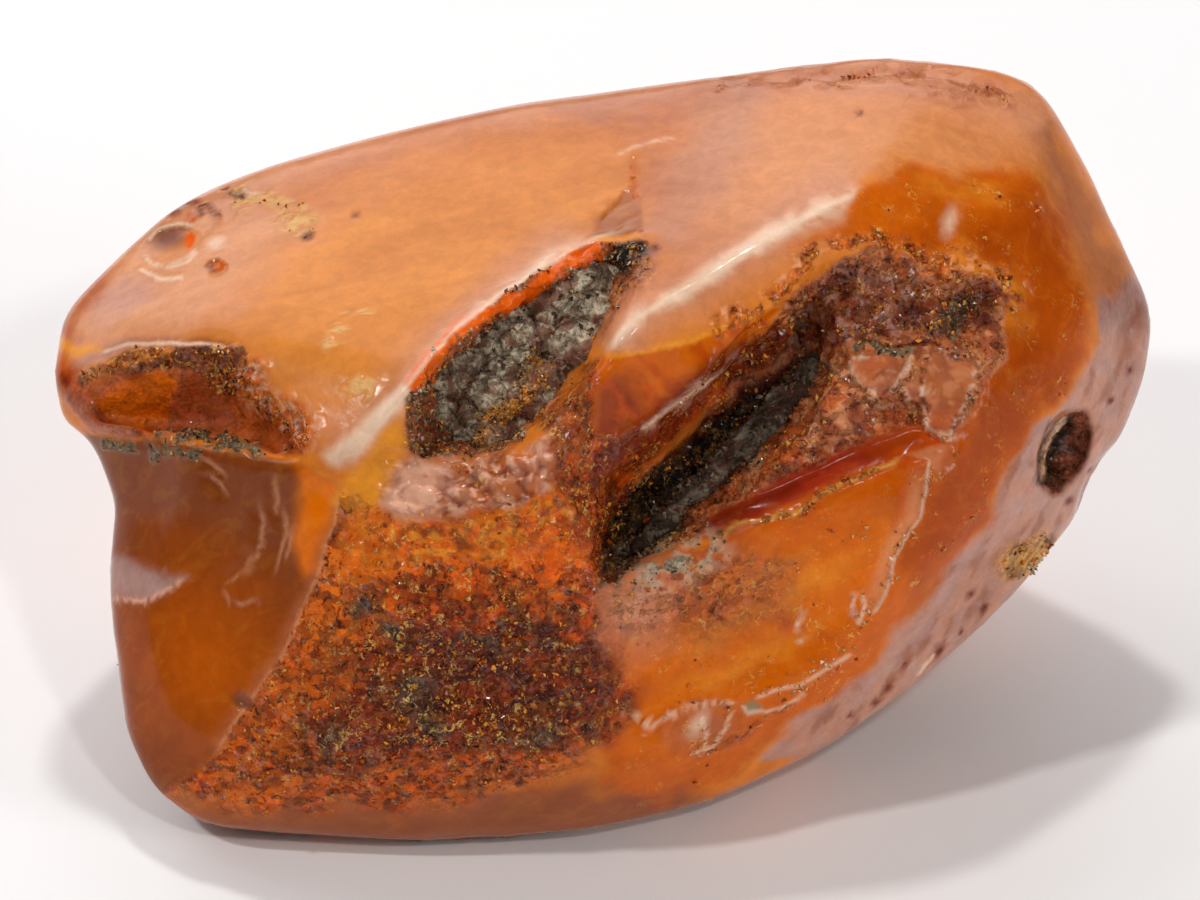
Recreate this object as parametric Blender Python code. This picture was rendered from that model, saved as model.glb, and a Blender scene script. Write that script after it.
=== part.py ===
"""A raw amber piece: one fist-sized lump of cloudy fossil resin, with grey sediment packed into its hollows.

The lump stands on a small flat at z = 0 and its long side runs along X. Its broken face leans back from upright, and
every form on that face is laid out in the leaning plane as (across, up, out) in millimetres: across is +X, up runs up
the leaning face, and out points away from the lump. Back and underside corners are plain (x, y, z) millimetres.
"""

import math

import bmesh
import bpy
import numpy as np
from mathutils import Vector, noise

MM = 0.001

# Driving dimensions, in millimetres and degrees.
LEAN_DEG = 35.0  # how far the broken face leans back from upright
FACE_ORIGIN = (-0.5, -2.1, 25.6)  # where (across, up, out) = (0, 0, 0) lies in (x, y, z)
BLOCK_VOXEL = 1.0  # grid of the blocked-out lump, halved once before carving
FORM_VOXEL = 0.5  # grid of the carved lump
ROUNDING_PASSES = 18  # how far the block's corners are worn round
AMBER_TRIANGLES = 8600
SEDIMENT_TRIANGLES = 650
SEDIMENT_GAP = 0.4  # clearance between packed sediment and the amber around it

LEAN = math.radians(LEAN_DEG)
ACROSS = np.array((1.0, 0.0, 0.0))
UP = np.array((0.0, math.sin(LEAN), math.cos(LEAN)))
OUT = np.array((0.0, -math.cos(LEAN), math.sin(LEAN)))
FACE_AXES = np.array((ACROSS, UP, OUT))
INWARD = (0, 0, -1)

# Corners of the block on its outline, as (across, up, out), anticlockwise from the left lip.
OUTLINE = [
    (-49.9, 7.2, 4),
    (-43.8, -17, 7),
    (-42.8, -27, 7),
    (-40.2, -31.6, 8),
    (-36.0, -34.4, 9),
    (-18, -35.7, 9),
    (-2, -34.9, 8),
    (10, -32.0, 6),
    (21, -27.0, 3),
    (29.2, -21.2, 0),
    (37.4, -13.8, -3),
    (44.2, -5.2, -5),
    (48.4, 2.5, -6),
    (50.4, 8, -6),
    (50.6, 13, -6),
    (47.4, 19.4, -6),
    (44.4, 26.2, -6),
    (40.4, 33, -5),
    (36.8, 34.8, -4),
    (25.6, 36, -3),
    (13, 33.6, -3),
    (2.6, 31.7, -3),
    (-8.8, 31.2, -4),
    (-18, 29.2, -5),
    (-31, 25.6, -5),
    (-40.2, 21.4, -5),
    (-45.6, 15.8, -3),
    (-49.2, 12.4, 0),
]

# Corners of the block on the broken face, as (across, up, out).
FACE_CORNERS = [
    (-24.3, -1.0, 24.0),
    (-15.6, 7.0, 25.5),
    (-5, -3, 26.5),
    (3.6, 11, 25),
    (14, 18, 21),
    (21, 22, 17.5),
    (38, 22, 8.5),
    (-24, -25, 18.5),
    (-10, -27.5, 18),
    (5, -25, 19),
    (20, -17, 17),
    (31, -8, 13.5),
    (41, 0, 7),
    (44, 12, 5),
    (31, 4, 17.5),
    (-33, -5, 19),
    (-36, -24, 14),
    (-42, 5, 13),
    (-34, 11, 16.5),
]

# Corners of the block on its back and underside, as (x, y, z).
BACK_CORNERS = [
    (-40.5, 10.8, 9),
    (-45.5, 6.8, 27),
    (-35.5, 19.8, 39),
    (-16.5, 28.8, 12),
    (-19.5, 29.8, 37),
    (7.5, 31.8, 13),
    (9.5, 32.8, 41),
    (27.5, 28.8, 19),
    (30.5, 29.8, 43),
    (42.5, 17.8, 27),
    (43.5, 14.8, 41),
    (40.5, 6.8, 15),
    (-29.5, -16.2, -1.4),
    (8.5, -15.2, -1.4),
    (20.5, 2.8, -1.4),
    (10.5, 17.8, -1.4),
    (-18.5, 15.8, -1.4),
    (-32.5, -0.2, -1.4),
]


def to_world(points):
    """(across, up, out) millimetres to world metres."""
    return (np.asarray(points, float) @ FACE_AXES + np.array(FACE_ORIGIN)) * MM


def to_face(points):
    """World metres to (across, up, out) millimetres."""
    return (np.asarray(points, float) / MM - np.array(FACE_ORIGIN)) @ FACE_AXES.T


# ---------------------------------------------------------------- meshes


def new_object(name, mesh):
    made = bpy.data.objects.new(name, mesh)
    bpy.context.scene.collection.objects.link(made)
    return made


def hull(name, world_corners):
    bm = bmesh.new()
    for corner in world_corners:
        bm.verts.new(corner)
    bmesh.ops.convex_hull(bm, input=bm.verts)
    bmesh.ops.delete(bm, geom=[v for v in bm.verts if not v.link_faces], context="VERTS")
    bmesh.ops.recalc_face_normals(bm, faces=bm.faces)
    mesh = bpy.data.meshes.new(name)
    bm.to_mesh(mesh)
    bm.free()
    return new_object(name, mesh)


def settle(obj):
    """Replaces the object's mesh with what its modifiers make of it."""
    graph = bpy.context.evaluated_depsgraph_get()
    made = bpy.data.meshes.new_from_object(obj.evaluated_get(graph))
    obj.modifiers.clear()
    old = obj.data
    obj.data = made
    bpy.data.meshes.remove(old)
    return obj


def remesh(obj, voxel):
    grid = obj.modifiers.new("Grid", "REMESH")
    grid.mode = "VOXEL"
    grid.voxel_size = voxel * MM
    return settle(obj)


def smooth(obj, passes, factor=0.5):
    worn = obj.modifiers.new("Worn", "SMOOTH")
    worn.factor = factor
    worn.iterations = passes
    return settle(obj)


def decimate(obj, triangles):
    obj.data.calc_loop_triangles()
    fewer = obj.modifiers.new("Fewer", "DECIMATE")
    fewer.ratio = min(1.0, triangles / len(obj.data.loop_triangles))
    fewer.use_collapse_triangulate = True
    return settle(obj)


def subtract(obj, tool, solver="EXACT"):
    """Cuts the tool's shape out of the object, and uses the tool up."""
    cut = obj.modifiers.new("Cut", "BOOLEAN")
    cut.operation = "DIFFERENCE"
    cut.object = tool
    cut.solver = solver
    settle(obj)
    bpy.data.objects.remove(tool)
    return obj


def read_points(obj):
    flat = np.empty(len(obj.data.vertices) * 3)
    obj.data.vertices.foreach_get("co", flat)
    return flat.reshape(-1, 3)


def write_points(obj, points):
    obj.data.vertices.foreach_set("co", np.asarray(points).ravel())
    obj.data.update()


def read_normals(obj):
    flat = np.empty(len(obj.data.vertices) * 3)
    obj.data.vertices.foreach_get("normal", flat)
    return flat.reshape(-1, 3)


def lumps(face_points, size, seed=0.0):
    """Smooth noise from about -1 to 1 at each point, its lumps about `size` millimetres across."""
    shift = Vector((seed, seed, seed))
    return np.array([noise.noise(Vector(p) / size + shift) for p in face_points]) * 1.6


def roughen(obj, size, height, seed, back_only=False):
    """Pushes the surface in and out by up to about `height` millimetres, in lumps `size` millimetres across."""
    points = to_face(read_points(obj))
    normals = read_normals(obj) @ FACE_AXES.T
    shift = height * (lumps(points, size, seed) + 0.5 * lumps(points, size / 2, seed + 7))
    if back_only:
        shift *= ease((0.1 - normals[:, 2]) / 0.5)
    write_points(obj, to_world(points + normals * shift[:, None]))
    return obj


# ---------------------------------------------------------------- carving


def ease(share):
    share = np.clip(share, 0, 1)
    return share * share * (3 - 2 * share)


def path_distance(spots, path):
    """Distance of each (across, up) spot to a path, its side (positive on the right), and how far along the path."""
    path = np.asarray(path, float)
    best = np.full(len(spots), np.inf)
    side = np.zeros(len(spots))
    along = np.zeros(len(spots))
    lengths = np.linalg.norm(np.diff(path, axis=0), axis=1)
    walked = np.concatenate([[0], np.cumsum(lengths)])
    for i, length in enumerate(lengths):
        start, run = path[i], path[i + 1] - path[i]
        share = np.clip((spots - start) @ run / length**2, 0, 1)
        offset = spots - (start + share[:, None] * run)
        away = np.linalg.norm(offset, axis=1)
        nearer = away < best
        best[nearer] = away[nearer]
        cross = offset[:, 0] * run[1] - offset[:, 1] * run[0]
        side[nearer] = np.sign(cross[nearer])
        along[nearer] = ((walked[i] + share * length) / walked[-1])[nearer]
    return best, side, along


def fade_ends(along, share):
    return ease(along / share) * ease((1 - along) / share)


class Carver:
    """Moves the points on one side of an object, stroke by stroke, in (across, up, out) millimetres."""

    def __init__(self, obj, side=1):
        self.obj = obj
        self.points = to_face(read_points(obj))
        normals = read_normals(obj) @ FACE_AXES.T
        self.facing = ease((side * normals[:, 2] + 0.3) / 0.35)

    def move(self, amount, direction):
        direction = np.asarray(direction, float)
        direction = direction / np.linalg.norm(direction)
        self.points += (amount * self.facing)[:, None] * direction

    def step(self, path, drop, reach, edge=0.9, ends=0.12, direction=INWARD):
        """Drops sharply on the right of the path and climbs back over `reach`."""
        away, side, along = path_distance(self.points[:, :2], path)
        signed = away * side
        profile = ease(signed / edge + 0.5) * (1 - ease(signed / reach))
        self.move(drop * profile * fade_ends(along, ends), direction)

    def groove(self, path, half_width, depth, ends=0.12, direction=INWARD):
        away, _, along = path_distance(self.points[:, :2], path)
        self.move(depth * (1 - ease(away / half_width)) * fade_ends(along, ends), direction)

    def ridge(self, path, half_width, height, ends=0.12):
        self.groove(path, half_width, -height, ends)

    def dish(self, spot, radius, depth, stretch=1.0, turn_deg=0.0, direction=INWARD):
        """An oval hollow with steep sides: `stretch` times longer along `turn_deg` than across it."""
        turn = math.radians(turn_deg)
        offset = self.points[:, :2] - np.asarray(spot)
        along = (offset @ np.array((math.cos(turn), math.sin(turn)))) / stretch
        across = offset @ np.array((-math.sin(turn), math.cos(turn)))
        share = np.hypot(along, across) / radius
        self.move(depth * np.sqrt(np.clip(1 - share**2, 0, 1)), direction)

    def scoop(self, bottom, facing, radius):
        """A shell-shaped chip: takes off all that lies inside a ball that touches `bottom` and opens to `facing`."""
        facing = np.asarray(facing, float)
        facing = facing / np.linalg.norm(facing)
        offset = self.points - (np.asarray(bottom, float) + facing * radius)
        level = offset @ facing
        spare = radius**2 - (np.sum(offset**2, axis=1) - level**2)
        floor = -np.sqrt(np.clip(spare, 0, None))
        inside = (spare > 0) & (level > floor) & (level < radius)
        self.points -= (np.where(inside, level - floor, 0) * self.facing)[:, None] * facing

    def basin(self, outline, near, far):
        """A sunken area: (depth, width of its sides) run from `near` at its lowest across to `far` at its highest."""
        outline = np.asarray(outline, float)
        closed = np.vstack([outline, outline[:1]])
        away, _, _ = path_distance(self.points[:, :2], closed)
        spots = self.points[:, :2]
        inside = np.zeros(len(spots), bool)
        for start, end in zip(closed[:-1], closed[1:]):
            spans = (start[1] > spots[:, 1]) != (end[1] > spots[:, 1])
            rise = np.where(spans, (spots[:, 1] - start[1]) / (end[1] - start[1] + 1e-12), 0)
            inside ^= spans & (spots[:, 0] < start[0] + rise * (end[0] - start[0]))
        ends = (outline[:, 0].min(), outline[:, 0].max())
        depth = np.interp(spots[:, 0], ends, (near[0], far[0]))
        width = np.interp(spots[:, 0], ends, (near[1], far[1]))
        self.move(depth * ease(np.where(inside, away, 0) / width), INWARD)

    def pinch_left(self, levels, shifts, start, reach):
        """Draws in the left side, front and back, by the shift given for each level up the face."""
        shift = np.interp(self.points[:, 1], levels, shifts, 0, 0)
        self.points[:, 0] += shift * ease((start - self.points[:, 0]) / reach)

    def finish(self):
        write_points(self.obj, to_world(self.points))


def carve_upper_face(carver):
    """The long smooth face above the pocket, its flat valley to the right, and the flaky top rim."""
    carver.scoop((-14, 17, 19.4), (-0.25, 0.62, 0.75), 130)
    carver.scoop((10, 25.5, 14.0), (0.12, 0.62, 0.78), 70)
    carver.groove([(6, 19), (8, 25), (10, 33)], 5, 0.5)
    carver.step([(37.1, 31.0), (35.2, 32.5), (28.1, 33.4), (18.0, 33.0)], 0.7, 4, direction=(0, -0.4, -1))
    carver.groove([(2.9, 24.3), (3.2, 23.1), (3.6, 21.4), (3.9, 18)], 0.7, 0.9)


def carve_upper_left(carver):
    """Glassy chips and flakes where the upper face meets the outline."""
    carver.dish((-39, 18.7), 2.4, 0.9, 1.2, 40)
    carver.ridge([(-41.2, 19.6), (-39, 20.7), (-36.6, 20.3)], 0.8, 0.6)
    carver.dish((-34.4, 16.4), 0.9, 0.9)
    carver.dish((-26.5, 19.4), 0.8, 0.6)
    carver.step([(-27, 21.5), (-29.5, 20.5), (-32, 21.5)], 0.6, 2.5)


def carve_left_face(carver):
    """The smooth hollow of a big shell-shaped chip below the lip, and the outline drawn in beside it."""
    carver.pinch_left([-24, -15, -10, -5, -1, 1.2, 2.6], [0.2, 0.9, 1.8, 3.3, 2.8, 2.0, 0], -34, 9)
    carver.scoop((-35.5, -13, 13.4), (-0.52, -0.06, 0.85), 60)
    carver.step([(-27, -0.6), (-23, -4), (-23.2, -7.2), (-25.7, -13.5), (-29.2, -20.2), (-34.5, -27.3)], 0.9, 5)
    carver.scoop((-42.6, -12.2, 8.2), (-0.85, 0, 0.5), 9)
    carver.scoop((-40.8, -28.6, 8.6), (-0.8, -0.3, 0.5), 6)


def carve_crust(carver):
    """The rough skin left between the chips, proud of the chip on its right."""
    break_line = [(-0.4, -25.0), (1.6, -22.5), (1.7, -20.3), (0.3, -17.4), (-0.2, -13.5), (-0.6, -11)]
    carver.step(break_line, 1.2, 6, 1.0)
    carver.ridge([(-21, -4.5), (-12, -5.5), (-4, -4), (1, -6)], 3, 0.7)
    carver.dish((-12, -11), 4, 0.8, 1.6, 10)
    carver.dish((-9, -19), 4.5, 1.0, 1.5, -15)
    carver.dish((-17, -21), 3.2, 0.7, 1.3, 35)
    carver.ridge([(-22, -10), (-17, -14), (-9, -14.5), (-3, -16)], 1.8, 0.6)
    carver.ridge([(-24, -23), (-15, -26), (-6, -25), (0, -27)], 2.0, 0.6)
    carver.groove([(-22, 0), (-16, -2.8), (-10, -3.2), (-5, -0.8)], 1.6, 0.9)


def carve_lower_chips(carver):
    """The flat chip at lower right with its curved break lines, and the small oval chip below it."""
    carver.scoop((14.5, -12.5, 17.2), (0.26, -0.32, 0.9), 170)
    carver.groove([(29.4, -1.2), (29.2, -4.1), (28.3, -6.7), (27.2, -8.1), (25.8, -11.2), (25.1, -13.5)], 0.8, 0.5)
    carver.scoop((9.3, -25.0, 16.4), (0.05, -0.45, 0.9), 7)
    carver.scoop((20.4, -21.8, 14.8), (0.4, -0.45, 0.8), 7)
    carver.ridge([(13.5, -22.2), (18, -20.2), (22.9, -17.8)], 1.0, 0.6)


def carve_right_side(carver):
    """Holes, slots and pits on the worn right end."""
    leftward = (-0.55, 0.05, -0.83)
    carver.dish((41.8, 0.2), 1.9, 4.0, 1.9, 68, leftward)
    carver.dish((38.7, -0.4), 1.0, 0.9, 1.2, 0, leftward)
    carver.dish((45.4, -2.5), 1.0, 2.6, 3.6, 57, leftward)
    carver.dish((47.4, 10.0), 1.0, 0.9, 3.0, 72, leftward)
    carver.dish((30.5, -18.1), 1.0, 0.8, 1.3, 40)
    carver.dish((26.0, -21.3), 0.9, 0.7)
    carver.dish((34.6, -14.2), 1.1, 0.8, 1.5, 40)
    carver.dish((31.3, 20.5), 0.7, 0.7, 2.4, 72)


SHELF_OUTLINE = [
    (-0.1, -12.4),
    (7.3, -7.8),
    (18.0, -4.9),
    (31.8, 0.7),
    (34.3, 4.0),
    (36.2, 8.4),
    (36.4, 15.5),
    (30.0, 17.4),
    (24.3, 18.6),
    (19.4, 17.1),
    (15.8, 14.4),
    (13.6, 8.6),
    (3.8, 0.5),
    (-0.2, -3.0),
]


def carve_gash_surround(carver):
    """The orange facet and the lip above the long cleft, and the rough shelf to its right."""
    carver.scoop((6.4, 5.4, 21.9), (0.1, -0.55, 0.82), 14)
    carver.step([(13.9, 14.1), (12.7, 12.7), (11.2, 11.2), (9, 10), (5.2, 8.8), (0.2, 8)][::-1], 0.9, 5)
    carver.basin(SHELF_OUTLINE, (4.4, 1.2), (1.9, 4.0))
    carver.dish((33.8, 12.8), 2.6, 1.4, 1.1)
    carver.dish((20.5, 14.6), 2.2, 1.4, 1.3, 40)
    carver.ridge([(22.5, 5), (25, 7.5), (28, 6.5)], 2.2, 1.0)
    carver.groove([(17.5, 12), (22, 10.5), (28.5, 11.5)], 1.2, 0.7)


def carve_back(carver):
    """Worn chips, pits and a long crack on the back."""
    outward = (0, 0, 1)
    carver.scoop((-20, 12, -27), (-0.2, 0.35, -0.9), 60)
    carver.scoop((22, 5, -29), (0.25, 0.1, -0.95), 75)
    carver.scoop((2, -14, -27), (0, -0.45, -0.9), 45)
    carver.groove([(-30, 4), (-18, -2), (-6, -1), (4, -6)], 1.4, 1.3, direction=outward)
    carver.groove([(8, 22), (14, 14), (17, 4)], 1.1, 0.9, direction=outward)
    carver.dish((-6, 14), 2.6, 1.6, 1.5, 30, outward)
    carver.dish((30, -2), 1.8, 1.6, 1.2, 60, outward)
    carver.dish((14, -10), 1.5, 1.1, 1.0, 0, outward)
    carver.dish((-26, -8), 1.9, 1.0, 1.6, -40, outward)


# ---------------------------------------------------------------- hollows

# Outlines at the surface and floors, as (across, up, out), of the hollows.
LIP_TOP = [
    (-46.0, 6.4, 9.2),
    (-43.6, 7.8, 11.6),
    (-41.2, 8.8, 13.0),
    (-36.0, 9.1, 14.2),
    (-32.6, 8.6, 15.6),
    (-31.2, 6.0, 16.6),
    (-28.6, 3.8, 18.2),
    (-25.8, 1.2, 20.6),
]
LIP_BOTTOM = [(-45.2, 2.6, 5.6), (-41, 2.0, 7.6), (-34, 2.2, 9.8), (-30, 1.2, 13.0), (-26.4, -0.4, 18.4)]
LIP_OPENING = [
    (-46.4, 7.4, 30),
    (-42.5, 10.2, 30),
    (-36.0, 10.6, 30),
    (-32.0, 10.0, 30),
    (-25.0, 2.2, 30),
    (-25.8, -1.4, 30),
    (-34, 0.2, 30),
    (-44.4, 1.0, 30),
]
POCKET_RIM = [
    (-16.9, -0.4, 23),
    (-16.8, 4.6, 24),
    (-13.0, 10.2, 25),
    (-7.4, 14.4, 24.5),
    (-3.4, 16.6, 24),
    (4.6, 18.0, 23),
    (2.6, 14.8, 23),
    (-0.2, 9.0, 24.5),
    (-4.2, 3.0, 25),
    (-11.0, -1.0, 24),
]
POCKET_FLOOR = [
    (-15.6, 1.8, 18.5),
    (-13.5, 7.2, 16.5),
    (-8.0, 12.4, 16.0),
    (0.6, 17.0, 17.0),
    (1.6, 15.2, 17.5),
    (-3.2, 7.0, 16.5),
    (-9.5, 1.6, 17.0),
]
CLEFT_RIM = [
    (-0.5, -12.4, 21),
    (-0.2, -3.4, 22),
    (3.8, 0.4, 22),
    (13.6, 8.6, 20),
    (16.4, 14.6, 18),
    (20.6, 15.6, 17),
    (21.4, 8.2, 16.5),
    (15.5, -1.6, 17),
    (6.6, -7.4, 19),
]
CLEFT_FLOOR = [
    (1.2, -10.8, 15.0),
    (0.8, -7.0, 15.0),
    (4.6, -5.6, 12.0),
    (4.2, -3.4, 12.5),
    (9.4, -1.4, 11.2),
    (14.4, 2.2, 11.0),
    (18.2, 5.6, 11.5),
    (19.0, 9.6, 12.0),
    (17.6, 11.6, 12.0),
]


def grained(cutter, size, height, seed):
    remesh(cutter, 0.6)
    smooth(cutter, 3)
    return roughen(cutter, size, height, seed)


def raised(outline, lift, tip):
    """The outline moved out of the lump by `lift`, and sideways by `tip`."""
    return [(a + tip[0], u + tip[1], n + lift) for a, u, n in outline]


def lip_cutter():
    """The broken front of the overhanging lip at the left, over a deep groove."""
    cutter = hull("lip_cutter", to_world(LIP_TOP + LIP_BOTTOM + LIP_OPENING))
    return grained(cutter, 3.0, 0.45, 5.0)


def pocket_cutter():
    """The upper pocket: long, narrow, and undercut along its upper left side."""
    cutter = hull("pocket_cutter", to_world(raised(POCKET_RIM, 8, (3.0, -2.6)) + POCKET_RIM + POCKET_FLOOR))
    return grained(cutter, 4.0, 0.45, 3.0)


def cleft_cutter():
    """The long cleft: a steep wall on its upper left, and a narrow deep floor beneath that wall."""
    cutter = hull("cleft_cutter", to_world(raised(CLEFT_RIM, 8, (1.0, -1.0)) + CLEFT_RIM + CLEFT_FLOOR))
    return grained(cutter, 4.5, 0.7, 11.0)


def foot_cutter():
    """A slab under z = 0, which leaves the worn flat that the lump stands on."""
    corners = [(x, y, z) for x in (-0.08, 0.08) for y in (-0.06, 0.06) for z in (-0.02, 0)]
    return hull("foot_cutter", corners)


# ---------------------------------------------------------------- pieces


def amber_block():
    """The lump as a rough block: the hull of its corners, worn round."""
    corners = list(to_world(OUTLINE + FACE_CORNERS)) + list(np.array(BACK_CORNERS, float) * MM)
    lump = hull("amber", corners)
    remesh(lump, BLOCK_VOXEL)
    smooth(lump, ROUNDING_PASSES)
    finer = lump.modifiers.new("Finer", "SUBSURF")
    finer.levels = 1
    finer.render_levels = 1
    return settle(lump)


def amber_piece():
    amber = amber_block()
    front = Carver(amber)
    carve_upper_face(front)
    carve_upper_left(front)
    carve_left_face(front)
    carve_crust(front)
    carve_lower_chips(front)
    carve_gash_surround(front)
    carve_right_side(front)
    front.finish()
    back = Carver(amber, -1)
    carve_back(back)
    back.finish()
    subtract(amber, lip_cutter())
    subtract(amber, pocket_cutter())
    subtract(amber, cleft_cutter())
    remesh(amber, FORM_VOXEL)
    smooth(amber, 3)
    roughen(amber, 9, 0.35, 2.0, back_only=True)
    decimate(amber, AMBER_TRIANGLES)
    return subtract(amber, foot_cutter())


# Upper corners of the grey sediment that fills each hollow's floor, as (across, up, out).
POCKET_FILL = [
    (-16.2, 0.6, 19.4),
    (-15.6, 4.6, 18.6),
    (-12.6, 7.2, 18.4),
    (-8.6, 10.4, 17.8),
    (-3.6, 13.8, 18.0),
    (0.8, 15.4, 18.0),
    (0.8, 13.0, 18.8),
    (-3.6, 7.0, 19.2),
    (-8.4, 1.6, 19.8),
    (-11.5, -0.2, 19.8),
]
CLEFT_FILL = [
    (0.4, -11.4, 17.0),
    (3.0, -8.4, 15.2),
    (7.0, -4.0, 13.8),
    (12.0, 0.8, 13.2),
    (16.5, 5.6, 13.2),
    (19.6, 9.2, 13.8),
    (20.6, 7.4, 15.0),
    (16.0, 1.6, 15.0),
    (9.8, -3.6, 15.4),
    (4.6, -8.0, 16.8),
]
FILL_DEPTH = 8.0


def largest_body(obj):
    """Keeps the biggest of the separate bodies in the object's mesh."""
    bm = bmesh.new()
    bm.from_mesh(obj.data)
    unseen = set(bm.verts)
    bodies = []
    while unseen:
        body = set()
        frontier = [next(iter(unseen))]
        while frontier:
            vert = frontier.pop()
            if vert in body:
                continue
            body.add(vert)
            frontier += [edge.other_vert(vert) for edge in vert.link_edges]
        unseen -= body
        bodies.append(body)
    keep = max(bodies, key=len)
    bmesh.ops.delete(bm, geom=[v for v in bm.verts if v not in keep], context="VERTS")
    bm.to_mesh(obj.data)
    bm.free()
    return obj


def swollen_copy(obj, gap):
    """A copy of the object grown outward by `gap` millimetres all round."""
    copy = new_object("swollen", obj.data.copy())
    remesh(copy, 0.6)
    swell = copy.modifiers.new("Swell", "DISPLACE")
    swell.strength = gap * MM
    swell.mid_level = 0
    settle(copy)
    return remesh(copy, 0.5)


def packed_sediment(name, top, amber, seed):
    """Sediment that fills a hollow from its floor up to `top`, standing clear of the amber all round."""
    floor = [(a, u, n - FILL_DEPTH) for a, u, n in top]
    fill = hull(name, to_world(top + floor))
    remesh(fill, 0.5)
    roughen(fill, 2.2, 0.55, seed)
    subtract(fill, swollen_copy(amber, SEDIMENT_GAP), "MANIFOLD")
    remesh(fill, 0.4)
    largest_body(fill)
    return decimate(fill, SEDIMENT_TRIANGLES)


def material(name, colour, roughness):
    made = bpy.data.materials.new(name)
    made.use_nodes = True
    shader = made.node_tree.nodes["Principled BSDF"]
    shader.inputs["Base Color"].default_value = (*colour, 1)
    shader.inputs["Roughness"].default_value = roughness
    shader.inputs["Metallic"].default_value = 0
    return made


def main():
    for obj in list(bpy.data.objects):
        bpy.data.objects.remove(obj)
    amber = amber_piece()
    amber.data.materials.append(material("amber_resin", (0.55, 0.17, 0.02), 0.25))
    earth = material("dry_sediment", (0.20, 0.17, 0.13), 0.95)
    for name, top, seed in (("pocket_sediment", POCKET_FILL, 4.0), ("cleft_sediment", CLEFT_FILL, 9.0)):
        packed_sediment(name, top, amber, seed).data.materials.append(earth)


main()
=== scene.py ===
import math

import bmesh
import bpy
import numpy as np
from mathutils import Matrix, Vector, noise


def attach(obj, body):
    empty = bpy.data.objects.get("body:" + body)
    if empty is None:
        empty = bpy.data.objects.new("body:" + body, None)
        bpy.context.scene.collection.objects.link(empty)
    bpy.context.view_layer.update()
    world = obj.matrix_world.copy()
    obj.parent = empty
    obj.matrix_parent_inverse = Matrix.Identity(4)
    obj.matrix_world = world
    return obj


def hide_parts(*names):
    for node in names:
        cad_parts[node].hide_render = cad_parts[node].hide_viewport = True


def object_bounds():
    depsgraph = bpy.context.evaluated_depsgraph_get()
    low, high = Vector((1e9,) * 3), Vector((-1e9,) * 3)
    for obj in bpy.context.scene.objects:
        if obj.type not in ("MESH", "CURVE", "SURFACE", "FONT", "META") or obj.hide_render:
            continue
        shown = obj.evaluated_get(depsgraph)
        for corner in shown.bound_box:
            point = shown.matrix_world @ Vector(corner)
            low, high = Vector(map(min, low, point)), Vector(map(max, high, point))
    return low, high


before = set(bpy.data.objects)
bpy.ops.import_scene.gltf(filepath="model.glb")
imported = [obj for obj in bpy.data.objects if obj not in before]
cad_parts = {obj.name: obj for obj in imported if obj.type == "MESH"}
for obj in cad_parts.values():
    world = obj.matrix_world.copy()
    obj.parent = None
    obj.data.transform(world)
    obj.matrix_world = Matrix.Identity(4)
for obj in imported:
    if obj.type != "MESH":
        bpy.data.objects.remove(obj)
cad_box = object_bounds()

# The broken face leans back from upright. Its forms are laid out as (across, up, out) in millimetres:
# across is +X, up runs up the leaning face, and out points from it straight at the camera.
MM = 0.001
LEAN = math.radians(35)
FACE_ORIGIN = np.array((-0.5, -2.1, 25.6))
UP = np.array((0, math.sin(LEAN), math.cos(LEAN)))
OUT = np.array((0, -math.cos(LEAN), math.sin(LEAN)))
FACE_AXES = np.array(((1, 0, 0), UP, OUT))
INWARD = (0, 0, -1)

CAMERA_DISTANCE = 2.5
FIELD_WIDTH = 0.108  # what the picture's width spans at the lump's centre
SENSOR_WIDTH = 36
WALL_GLOW = 0.12  # strength of the even light from all round
FLOOR_REACH = 4
WARM_WHITE = (1, 0.98, 0.96)
AMBER_VOXEL = 0.26
AMBER_TRIANGLES = 188000
FACET_PASSES = 10  # smoothing that only takes off the solid's facets
POLISH_PASSES = 110  # smoothing on the glossy faces
EARTH_VOXEL = 0.2
FRONT_FROM = -0.35  # outward share of the normal at which the painted front begins
FRONT_FADE = 0.4
BARELY_SHOWN = 0.01  # a mask below this leaves the surface as it is
FOOT_SINK = 0.3  # how far the lowest points drop, which flattens the foot on the floor
FOOT_HEIGHT = 1.5
SPARE_FRONT, SPARE_BACK, SPARE_BUSY = 0.6, 0.7, 0.3  # how freely each area gives up triangles
AMBER_IOR = 1.54
GLOSSY_GRAIN = (0.18, 0.3, 0.4)  # least and most roughness, and specular level
DULL_GRAIN = (0.8, 0.95, 0.15)


# ---------------------------------------------------------------- coordinates and meshes


def to_world(points):
    return (np.asarray(points, float) @ FACE_AXES + FACE_ORIGIN) * MM


def to_face(points):
    return (np.asarray(points, float) / MM - FACE_ORIGIN) @ FACE_AXES.T


def add_object(name, data):
    obj = bpy.data.objects.new(name, data)
    bpy.context.scene.collection.objects.link(obj)
    return obj


def read(obj, values):
    """The vertices' "co" or "normal", one row each."""
    flat = np.empty(len(obj.data.vertices) * 3)
    obj.data.vertices.foreach_get(values, flat)
    return flat.reshape(-1, 3)


def write_points(obj, points):
    obj.data.vertices.foreach_set("co", np.asarray(points).ravel())
    obj.data.update()


def settle(obj):
    """Replaces the object's mesh with what its modifiers make of it."""
    graph = bpy.context.evaluated_depsgraph_get()
    made = bpy.data.meshes.new_from_object(obj.evaluated_get(graph))
    obj.modifiers.clear()
    obj.data = made
    return obj


def remesh(obj, voxel):
    grid = obj.modifiers.new("Grid", "REMESH")
    grid.mode = "VOXEL"
    grid.voxel_size = voxel * MM
    return settle(obj)


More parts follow.
